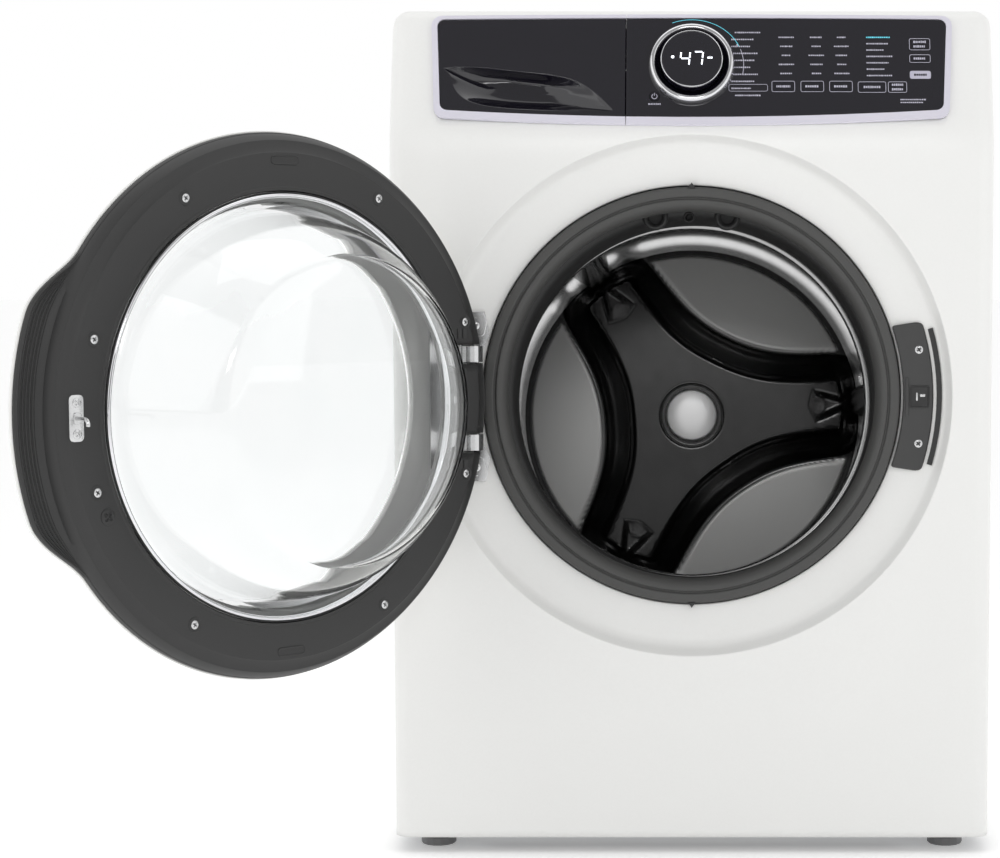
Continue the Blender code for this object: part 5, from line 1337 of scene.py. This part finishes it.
# ---------------------------------------------------------------- console
@dataclass
class Console(SubAssembly):
    """The control panel: printed marks, key outlines, the dial and the lit display."""

    axes: Axes = CONSOLE_AXES
    start_x: float = -0.0745
    half_low: float = 0.291
    half_high: float = 0.297
    height: float = 0.136
    rise: float = 0.0094
    drop: float = 0.0018
    corner: float = 0.012
    face: float = -0.0036
    dial_s: float = 0.0740
    dial_radius: float = 0.0490
    scale_half_width: float = 0.0590
    scale_half_height: float = 0.0560
    block_short: float = 0.0011
    block_long: float = 0.0021
    block_gap: float = 0.0006
    first_row: float = 0.1080
    cycle_pitch: float = 0.00865
    setting_pitch: float = 0.0112
    option_pitch: float = 0.0079
    display_rise: float = 0.0165
    display_radius: float = 0.0355
    digit_height: float = 0.0165

    def half(self, s: float) -> float:
        """Half width of the panel at a distance up its slope."""
        return self.half_low + (self.half_high - self.half_low) * s / self.height

    def outline(self, side: int, grow: float, low: float, high: float) -> Array:
        """The outline of the drawer's part or the fascia's part of the panel.

        The lower edge rises and the upper edge drops with the square of the distance from the
        middle; the two outer corners are rounded.

        Args:
            side: -1 for the drawer's part, 1 for the fascia's.
            grow: how far the outer edge lies inside the panel's own.
            low: how far the lower edge is raised.
            high: how far the upper edge is lowered.

        Returns:
            The closed outline.
        """
        start = self.start_x + 0.0003 * side
        ends = [(self.half(0.0) - grow) * side, (self.half(self.height) - grow) * side]
        x = np.linspace(start, ends[0], 40)
        bottom = np.column_stack([x, self.rise * (x / self.half_low) ** 2 + low])
        x = np.linspace(start, ends[1], 40)
        top = np.column_stack([x, self.height - self.drop * (x / self.half_high) ** 2 - high])
        path = np.vstack([bottom, top[::-1]])
        reach = np.zeros(len(path))
        reach[[39, 40]] = self.corner - grow * 0.6
        kept = np.delete(path, [37, 38, 41, 42], axis=0)
        return rounded(kept, 0.0, 8, radii=np.delete(reach, [37, 38, 41, 42]))

    def mark(self, outline: Array) -> Surface:
        """A printed mark: a film a tenth of a millimetre thick on the fascia."""
        return moulded(outline, [(0.0, self.face - 0.00002), (0.0, self.face - 0.00012)], floor=False)

    def word(self, x: float, s: float, length: float, tall: float = 0.0019, seed: int = 0,
             middle: bool = False) -> List[Surface]:
        """A row of small blocks that stands for a printed label without saying anything.

        Args:
            x: left end, or middle, of the label.
            s: its height up the slope.
            length: how long it is.
            tall: how tall its blocks are.
            seed: picks the lengths of the blocks.
            middle: whether x is the label's middle.

        Returns:
            The blocks.
        """
        rng = np.random.default_rng(seed)
        blocks, at = [], x - (length / 2 if middle else 0.0)
        end = at + length
        while at < end - 0.0008:
            wide = min(float(rng.uniform(self.block_short, self.block_long)), end - at)
            blocks.append(self.mark(box_outline(at + wide / 2, s, wide, tall * float(rng.uniform(0.75, 1.0)),
                                                0.0002, 1)))
            at += wide + self.block_gap
        return blocks

    def line(self, points: Profile, radius: float = 0.00035,
             closed: bool = False, level: float = 0.0) -> Surface:
        """A thin printed line along points of the panel.

        Args:
            points: x and slope distance of each point.
            radius: half the line's width.
            closed: whether it meets itself.
            level: how far behind the fascia's face it lies.

        Returns:
            The line as a flattened tube.
        """
        path = np.array([(x, self.face + level, s) for x, s in points])
        made = tube(path, radius, 6, closed)
        made.points[:, 1] = self.face + level + (made.points[:, 1] - self.face - level) * 0.4
        return made

    def framed(self, x: float, s: float, width: float, height: float) -> Surface:
        """The printed outline of a key."""
        points = box_outline(x, s, width - 0.0012, height - 0.0012, 0.0022, 4)
        return self.line(points, 0.0003, True, -0.0005)

    def segment_digit(self, digit: int, x: float, s: float, size: float, level: float) -> List[Surface]:
        """One seven-segment digit of the display, leaning slightly.

        Args:
            digit: 4 or 7, the two that the display shows.
            x: its middle.
            s: its middle height.
            size: its height.
            level: depth of the display's glass.

        Returns:
            Its lit bars.
        """
        bars = {4: "fgbc", 7: "abc"}[digit]
        w, h = size * 0.31, size / 2
        ends = {"a": ((-w, h), (w, h)), "b": ((w, h), (w, 0)), "c": ((w, 0), (w, -h)),
                "d": ((-w, -h), (w, -h)), "e": ((-w, 0), (-w, -h)), "f": ((-w, h), (-w, 0)),
                "g": ((-w, 0), (w, 0))}
        made = []
        for bar in bars:
            (xa, sa), (xb, sb) = ends[bar]
            trim = 0.10
            pa = np.array([xa + (xb - xa) * trim, sa + (sb - sa) * trim])
            pb = np.array([xb - (xb - xa) * trim, sb - (sb - sa) * trim])
            path = np.array([(x + p[0] + 0.10 * p[1], level, s + p[1]) for p in (pa, (pa + pb) / 2, pb)])
            bar_surface = tube(path, size * 0.050, 6)
            bar_surface.points[:, 1] = level + (bar_surface.points[:, 1] - level) * 0.15
            made.append(bar_surface)
        return made

    def keys(self) -> Dict[str, Tuple[float, float, float, float]]:
        """Each key's middle and size on the slope, by its body's name."""
        return {"temperature": (0.1037, 0.0470, 0.0270, 0.0142), "soil": (0.1365, 0.0470, 0.0270, 0.0142),
                "spin": (0.1690, 0.0470, 0.0270, 0.0142), "options": (0.2041, 0.0462, 0.0325, 0.0142),
                "select": (0.2330, 0.0462, 0.0220, 0.0142), "start": (0.2592, 0.0992, 0.0245, 0.0152),
                "cancel": (0.2592, 0.0814, 0.0245, 0.0108), "dose": (0.2592, 0.0613, 0.0245, 0.0104)}

    def scale_arc(self, first: float, last: float, steps: int) -> Surface:
        """A printed arc of an ellipse about the dial, between two angles in degrees."""
        arc = np.radians(np.linspace(first, last, steps))
        return self.line([(self.scale_half_width * math.cos(a),
                           self.dial_s + self.scale_half_height * math.sin(a)) for a in arc])

    def labels(self) -> None:
        """The printed columns of settings, on the fascia."""
        pale: List[Surface] = []
        for row in range(10):
            s = 0.1140 - row * self.cycle_pitch
            indent = 0.004 * (row in (0, 9))
            pale += self.word(0.0450 + indent, s, 0.030 - 0.008 * ((row * 7) % 3) / 2, seed=row)
        boxed = box_outline(0.0640, 0.0456, 0.0440, 0.0084, 0.0026)
        pale.append(self.line(boxed, 0.00025, True))
        for column, x in enumerate((0.1075, 0.1415, 0.1705)):
            for row in range(5):
                s = self.first_row - row * self.setting_pitch
                pale += self.word(x, s, 0.0175 - 0.0035 * ((row + column) % 3), seed=20 + row * 5 + column,
                                  middle=True)
        for row in range(1, 7):
            s = self.first_row - row * self.option_pitch
            pale += self.word(0.1985, s, 0.0300 - 0.005 * (row % 3), seed=50 + row)
        pale += self.word(0.2360, 0.0310, 0.0300, 0.0018, seed=71)
        pale += self.word(0.2360, 0.0275, 0.0260, 0.0018, seed=72)
        self.piece("printed_labels", joined(pale), PALE_INK_PAINTED_GLOW, "white_plastic")
        teal = self.word(0.1985, self.first_row, 0.0270, seed=60)
        teal.append(self.scale_arc(112.0, 24.0, 26))
        self.piece("printed_teal_marks", joined(teal), TEAL_INK_PAINTED_GLOW, "white_plastic")
        dots = [self.scale_arc(20.0, -12.0, 12),
                self.mark(ring_outline(0.0011, 14, (0.0518, 0.0985)))]
        self.piece("printed_dial_scale", joined(dots), PALE_INK_PAINTED_GLOW, "white_plastic")

    def key_faces(self) -> None:
        """The outline and label that each key carries; the dose key is printed solid."""
        for name, (x, s, width, height) in self.keys().items():
            parts = [self.framed(x, s, width, height)]
            if name == "dose":
                plate = box_outline(x, s, width - 0.0016, height - 0.0016, 0.0022)
                parts.append(moulded(plate, [(0.0, self.face - 0.0005), (0.0, self.face - 0.00065)],
                                     floor=False))
            rows = (0.0028, -0.0028) if name in ("start", "select") else (0.0,)
            label: List[Surface] = []
            for number, up in enumerate(rows):
                word = self.word(x, s + up, width * 0.58, 0.0030, seed=len(name) + number, middle=True)
                label += word
            for block in label:
                block.points[:, 1] -= 0.0006 if name != "dose" else 0.0007
            if name == "dose":
                self.piece("dose_key_label", joined(label), KEY_BLACK, "key_gloss",
                           body="dose_button")
            else:
                parts += label
            self.piece(f"{name}_key_print", joined(parts), PALE_INK_PAINTED_GLOW, "white_plastic",
                       body=f"{name}_button")
        x, s = -0.0421, 0.0348
        turn = np.radians(np.linspace(118.0, 422.0, 20))
        sign = [self.line([(x + 0.0030 * math.cos(a), s + 0.0030 * math.sin(a)) for a in turn], 0.00035,
                          level=-0.0005),
                self.line([(x, s + 0.0008), (x, s + 0.0024), (x, s + 0.0042)], 0.00035, level=-0.0005)]
        self.piece("power_key_print", joined(sign), PALE_INK_PAINTED_GLOW, "white_plastic",
                   body="power_button")
        self.piece("power_label", joined(self.word(x, 0.0255, 0.0140, 0.0020, seed=5, middle=True)),
                   PALE_INK_PAINTED_GLOW, "white_plastic")

    def dial(self) -> None:
        """The dial's ring, the dark well inside it, and the display with its lit number."""
        r, face = self.dial_radius, self.face
        outer = rounded([(r - 0.0010, face - 0.0006), (r, face - 0.0022), (r - 0.0008, face - 0.0066),
                         (r - 0.0028, face - 0.0098), (r - 0.0064, face - 0.0100),
                         (r - 0.0080, face - 0.0082), (0.0378, face - 0.0044), (0.0364, face - 0.0036),
                          (0.0362, face - 0.0006)],
                        0.0, 6, closed=False, radii=(0, .001, .003, .003, .0025, .0025, .001, .0005, 0))
        ring = turned(outer, 144, closed=True, centre=(0.0, self.dial_s))
        dark = ((outer[:, 0] < r - 0.0076) & (outer[:, 0] > 0.0368)).astype(int)
        ring.paint = np.repeat(dark, 144).tolist()[: len(ring.faces)]
        self.piece("programme_dial", ring, (BRIGHT_CHROME, GLOSS_BLACK), "satin_chrome",
                   ("dial_ring",), body="dial")
        front = face - self.display_rise
        boss = rounded([(0.0, front), (0.0330, front), (0.0352, front + 0.0006),
                        (self.display_radius, front + 0.0040), (self.display_radius, 0.0040),
                        (0.0, 0.0040)], 0.0, 5, closed=False,
                       radii=(0, .0006, .001, .001, 0, 0))
        self.piece("display_lens", turned(boss, 96, centre=(0.0, self.dial_s)), GLOSS_BLACK,
                   "fascia_gloss", ("display_boss",))
        turn = np.linspace(0.0, math.tau, 96, endpoint=False)
        rim = tube(np.column_stack([0.0345 * np.cos(turn), np.full(96, front + 0.0002),
                                    self.dial_s + 0.0345 * np.sin(turn)]), 0.0005, 8, True)
        self.piece("display_bright_rim", rim, BRIGHT_CHROME, "satin_chrome")
        lit = self.segment_digit(4, -0.0075, self.dial_s, self.digit_height, front - 0.0001)
        lit += self.segment_digit(7, 0.0070, self.dial_s, self.digit_height, front - 0.0001)
        lit += [self.mark(box_outline(x, self.dial_s + 0.001, 0.0013, 0.0024, 0.0002, 1))
                for x in (0.0185, 0.0206, 0.0227)]
        lit += [self.mark(ring_outline(0.0018, 14, (-0.0215, self.dial_s + 0.002)))]
        for surface in lit[-4:]:
            surface.points[:, 1] += front - face
        self.piece("display_number", joined(lit), LIT_MARK, "white_plastic")

    def build(self) -> None:
        """Builds the dial, the labels and the key prints."""
        self.dial()
        self.labels()
        self.key_faces()


@dataclass
class Drawer(SubAssembly):
    """The dispenser drawer's gloss front with its moulded finger scoop."""

    body: str = "drawer"
    axes: Axes = CONSOLE_AXES
    face: float = -0.0036
    back: float = -0.0006
    depth: float = 0.0135
    middle: Tuple[float, float] = (-0.1860, 0.0430)

    def leaf(self) -> Array:
        """The scoop's leaf-shaped outline: pointed high at its left end and low at its right."""
        corners = [(-0.2830, 0.0700), (-0.2735, 0.0640), (-0.2700, 0.0458), (-0.2568, 0.0311),
                   (-0.2350, 0.0238), (-0.2000, 0.0200), (-0.1512, 0.0177), (-0.1030, 0.0172),
                   (-0.0890, 0.0178), (-0.1110, 0.0410), (-0.1300, 0.0545), (-0.1500, 0.0600),
                   (-0.1980, 0.0655), (-0.2300, 0.0700), (-0.2600, 0.0715)]
        return rounded(corners, 0.0, 6, radii=(.003, .006, .010, .012, .012, .014, .014, .006, .002,
                                               .014, .012, .012, .014, .014, .010))

    def reach_of(self, outline: Array, angles: Array) -> Array:
        """How far the outline lies from the scoop's middle at each angle.

        The outline is walked in short steps, and its polar radius is read off by angle.

        Args:
            outline: x and slope distance of its corners.
            angles: the angles to read.

        Returns:
            The distance at each angle.
        """
        ahead = np.roll(outline, -1, 0)
        share = np.linspace(0.0, 1.0, 24, endpoint=False)[None, :, None]
        walked = (outline[:, None] * (1 - share) + ahead[:, None] * share).reshape(-1, 2)
        away = walked - np.array(self.middle)
        angle = np.arctan2(away[:, 1], away[:, 0])
        order = np.argsort(angle)
        return np.interp(angles, angle[order], np.hypot(away[:, 0], away[:, 1])[order], period=math.tau)

    def front(self, outline: Array) -> Surface:
        """The gloss front: rolled outer edge, flat face, then the scoop sinking in.

        Each row is a share of the way from the scoop's middle to its outline; the depth eases in
        with that share, and the lip at the top rolls in more steeply than the floor does.

        Args:
            outline: the front's outer outline.

        Returns:
            The front as one sheet of rings.
        """
        away = outline - np.array(self.middle)
        corner_angles = np.arctan2(away[:, 1], away[:, 0])
        angles = np.unique(np.round(np.append(np.linspace(-math.pi, math.pi, 320, endpoint=False),
                                              corner_angles), 6))
        edge, leaf = self.reach_of(outline, angles), self.reach_of(self.leaf(), angles)
        rows = [(edge - 0.0012, self.back), (edge - 0.0002, self.face + 0.0008), (edge - 0.0008, self.face),
                (edge - 0.0014, self.face)]
        rows += [(leaf + (edge - leaf) * s, self.face) for s in (0.6, 0.25)]
        rows += [(leaf + 0.0018, self.face), (leaf + 0.0010, self.face), (leaf, self.face + 0.0004)]
        upper = smooth_step(np.sin(angles) * 1.5)
        for share in (0.975, 0.94, 0.90, 0.84, 0.76, 0.66, 0.54, 0.40, 0.24, 0.10, 0.0):
            run = 0.30 + 0.45 * (1.0 - upper)
            sunk = smooth_step((1.0 - share) / run * 0.5 + 0.5) * 2.0 - 1.0
            rows.append((leaf * share, self.face + 0.0003 + (self.depth - self.face - 0.0003) * sunk))
        points = [np.column_stack([self.middle[0] + r * np.cos(angles), np.broadcast_to(y, angles.shape),
                                   self.middle[1] + r * np.sin(angles)]) for r, y in rows]
        return grid(np.array(points), False, True).flipped()

    def build(self) -> None:
        """Builds the drawer's front."""
        outline = Console().outline(-1, 0.0070, 0.0095, 0.0046)
        self.piece("drawer_gloss_front", self.front(outline), GLOSS_BLACK, "fascia_gloss",
                   ("drawer_front",), outward=False, crease=45.0)


@dataclass
class Lock(SubAssembly):
    """The door lock's cover on the recess: plate, bar, latch hole and screws."""

    axes: Axes = CABINET_AXES
    radius: float = 0.2605
    inner_radius: float = 0.2418
    outer_radius: float = 0.2765
    outer_share: float = 0.93
    half_angle: float = math.radians(19.5)
    screw_x: float = 0.2596
    screw_z: float = 0.0537
    front: float = 0.0171
    back: float = 0.0201

    def plate(self) -> Surface:
        """The cover: a ring sector with rounded corners and a bevelled rim.

        Returns:
            The closed plate.
        """
        turn = np.linspace(-self.half_angle, self.half_angle, 15)
        inner = [(self.inner_radius * math.cos(a), self.inner_radius * math.sin(a)) for a in turn[::-1]]
        outer = [(self.outer_radius * math.cos(a * self.outer_share),
                  self.outer_radius * math.sin(a * self.outer_share)) for a in turn]
        between = [0.0] * (len(turn) - 2)
        reaches = [0.010] + between + [0.010, 0.004] + between + [0.004]
        outline = rounded(outer + inner, 0.0, 5, radii=reaches)
        return moulded(outline, [(0.0, self.back), (0.0, self.front + 0.0016), (-0.0016, self.front)])

    def pocket(self) -> Surface:
        """The latch hole: a raised frame whose inside sinks to a black floor, painted shade in place of the
        open hole.

        Returns:
            The frame and its floor.
        """
        outline = box_outline(self.radius, 0.0, 0.0215, 0.0245, 0.0020, 4)
        f = self.front
        return moulded(outline, [(0.0008, f + 0.0004), (0.0006, f - 0.0009), (-0.0008, f - 0.0010),
                                 (-0.0014, f - 0.0002), (-0.0016, f - 0.0001)], floor=False)

    def build(self) -> None:
        """Builds the cover, its frame, bar, catch and screws."""
        f = self.front
        self.piece("lock_cover", self.plate(), LOCK_GREY, "dark_plastic",
                   ("lock_cover_plate",))
        bar = slab(box_outline(0.2462, 0.0, 0.0032, 0.0440, 0.0014), f - 0.0014, f + 0.0004, 0.0006)
        self.piece("lock_cover_bar", bar, LOCK_GREY, "dark_plastic")
        # The latch hole's black floor is painted shade.
        self.piece("latch_hole_frame", self.pocket(), BLACK_RUBBER, "dark_plastic")
        tooth = box_outline(self.radius + 0.0035, 0.0015, 0.0060, 0.0034, 0.0008)
        blade = box_outline(self.radius - 0.0030, 0.0, 0.0022, 0.0090, 0.0006)
        catch = joined([slab(tooth, f - 0.0010, f, 0.0004), slab(blade, f - 0.0008, f, 0.0004)])
        self.piece("latch_catch", catch, NICKEL, "galvanised_steel")
        heads = [screw(self.screw_x, z, f + 0.0001, 0.0047, facing=-1.0) for z in (self.screw_z,
                       -self.screw_z)]
        self.piece("lock_cover_screws", joined(heads), NICKEL, "galvanised_steel",
                   outward=False)


@dataclass
class Hinge(SubAssembly):
    """Dressing of the hinge: pressed ears with screws, and the slotted block between the arms."""

    axes: Axes = CABINET_AXES
    ear_z: float = 0.083
    ear_front: float = 0.0156
    slot_x: float = -0.2420
    slot_face: float = 0.0142
    slot_heights: Tuple[float, ...] = (0.0735, 0.0290, -0.0290, -0.0735)
    slot_step: float = 0.0038

    def ear(self, side: int) -> Surface:
        """A pressed ear on the recess beside the arm, with a screw and a turned-up lip.

        Args:
            side: 1 for the upper ear, -1 for the lower one.

        Returns:
            The ear, its lip and its screw as one surface.
        """
        level, front = side * self.ear_z, self.ear_front
        outline = rounded([(-0.2600, level - 0.014), (-0.2370, level - 0.014),
                           (-0.2330, level + 0.004 * side), (-0.2390, level + 0.014),
                           (-0.2560, level + 0.014)], 0.004, 4)
        plate = moulded(outline, [(0.0, front + 0.0020), (0.0, front + 0.0004), (-0.0005, front)])
        lip = tube(np.array([(-0.2535, front - 0.0006, level - 0.009 * side),
                             (-0.2535, front - 0.0010, level),
                             (-0.2505, front - 0.0010, level + 0.007 * side),
                             (-0.2450, front - 0.0010, level + 0.007 * side)]), 0.0011, 8)
        return joined([plate, lip, screw(-0.2465, level - 0.002 * side, front, 0.0046, facing=-1.0)])

    def slots(self) -> Surface:
        """Pairs of slots above and below each arm, on the door's hinge side, drawn as black plates: painted
        shade in the openings.

        Returns:
            All the slots' raised rims as one surface, in the door's axes.
        """
        face = self.slot_face
        section = [(0.0, face - 0.0008), (0.0, face + 0.0004), (-0.0008, face + 0.0002)]
        places = [(self.slot_x + step, z) for z in self.slot_heights
                  for step in (-self.slot_step, self.slot_step)]
        return joined([moulded(box_outline(x, z, 0.0054, 0.0112, 0.0008, 2), section) for x, z in places])

    def build(self) -> None:
        """Builds the ears on the cabinet and the slots on the door."""
        for side, name in ((1, "upper"), (-1, "lower")):
            self.piece(f"hinge_ear_{name}", self.ear(side), NICKEL, "galvanised_steel")
        # The slots' black is painted shade.
        self.piece("hinge_block_slots", self.slots(), BLACK_RUBBER, "dark_plastic",
                   body="door", axes=opened_door_axes())


# ---------------------------------------------------------------- studio
@dataclass
class Studio:
    """The floor, the soft lights and the camera."""

    floor_z: float = -0.013
    floor_size: float = 90.0
    lens: float = 95.03
    camera_place: Point = (0.0, -3.36, 0.6645)
    camera_dip: float = math.radians(5.12)
    shift: Tuple[float, float] = (-0.1917, 0.0703)

    def floor(self) -> None:
        """A plain pale floor: a flat grid that reaches well past the view."""
        line = np.linspace(-self.floor_size / 2, self.floor_size / 2, 3)
        x, y = np.meshgrid(line, line)
        mesh = mesh_of("studio_floor", grid(np.stack([x, y, np.full_like(x, self.floor_z)], -1)),
                       outward=False)
        mesh.materials.append(FLOOR.material())
        made = bpy.data.objects.new("studio_floor", mesh)
        bpy.context.scene.collection.objects.link(made)

    def light(self, name: str, place: Point, aim: Point, size: Tuple[float, float],
              power: float) -> None:
        """One soft rectangular light, turned to look at a point.

        Args:
            name: the light's name.
            place: where it stands.
            aim: the point that it looks at.
            size: its width and height.
            power: in watts.
        """
        data = bpy.data.lights.new(name, "AREA")
        data.shape = "RECTANGLE"
        data.size, data.size_y = size
        data.energy = power
        made = bpy.data.objects.new(name, data)
        bpy.context.scene.collection.objects.link(made)
        made.location = place
        away = np.array(aim) - np.array(place)
        made.rotation_euler = Vector(away).to_track_quat("-Z", "Y").to_euler()

    def world(self) -> None:
        """A white surround behind the machine that darkens towards the front, so gloss stays deep."""
        world = bpy.data.worlds.new("studio")
        bpy.context.scene.world = world
        world.use_nodes = True
        tree = world.node_tree
        sky = tree.nodes["Background"]
        where = add(tree, "ShaderNodeTexCoord")
        parts = add(tree, "ShaderNodeSeparateXYZ", links={0: (where, "Generated")})
        shade = add(tree, "ShaderNodeMapRange", {"From Min": -0.35, "From Max": 0.15, "To Min": 0.40,
                                                 "To Max": 1.0}, {0: (parts, 1)})
        tree.links.new(shade.outputs[0], sky.inputs["Strength"])
        sky.inputs["Color"].default_value = linear("#ffffff")

    def build(self) -> None:
        """Floor, lights, pale world and camera."""
        self.floor()
        self.light("key_light", (-2.6, -2.4, 2.0), (0.0, -0.2, 0.45), (3.2, 3.2), 27.0)
        self.light("fill_light", (2.7, -2.3, 1.9), (0.0, -0.2, 0.45), (3.2, 3.2), 22.0)
        self.light("top_light", (0.0, -0.4, 3.0), (0.0, -0.1, 0.5), (2.6, 1.6), 8.0)
        self.light("drum_light", (0.0, -3.4, 1.75), (0.0, 0.0, 0.5), (1.1, 0.5), 10.0)
        self.world()
        data = bpy.data.cameras.new("camera")
        data.lens = self.lens
        data.sensor_width = 36.0
        data.shift_x, data.shift_y = self.shift
        made = bpy.data.objects.new("camera", data)
        bpy.context.scene.collection.objects.link(made)
        made.location = self.camera_place
        made.rotation_euler = (math.pi / 2 - self.camera_dip, 0.0, 0.0)
        bpy.context.scene.camera = made
        bpy.context.scene.view_settings.view_transform = "Standard"
        LOG.info("studio: floor, four lights and the camera")


def main() -> None:
    """Builds and dresses every sub-assembly in order, then the studio."""
    logging.basicConfig(level=logging.INFO, format="%(message)s")
    dress_frame()
    for assembly in (Cabinet(), Drum(), Seal(), Console(), Drawer(), Lock(), Hinge(), Door()):
        assembly.build()
    Studio().build()


if __name__ == "__main__":
    main()
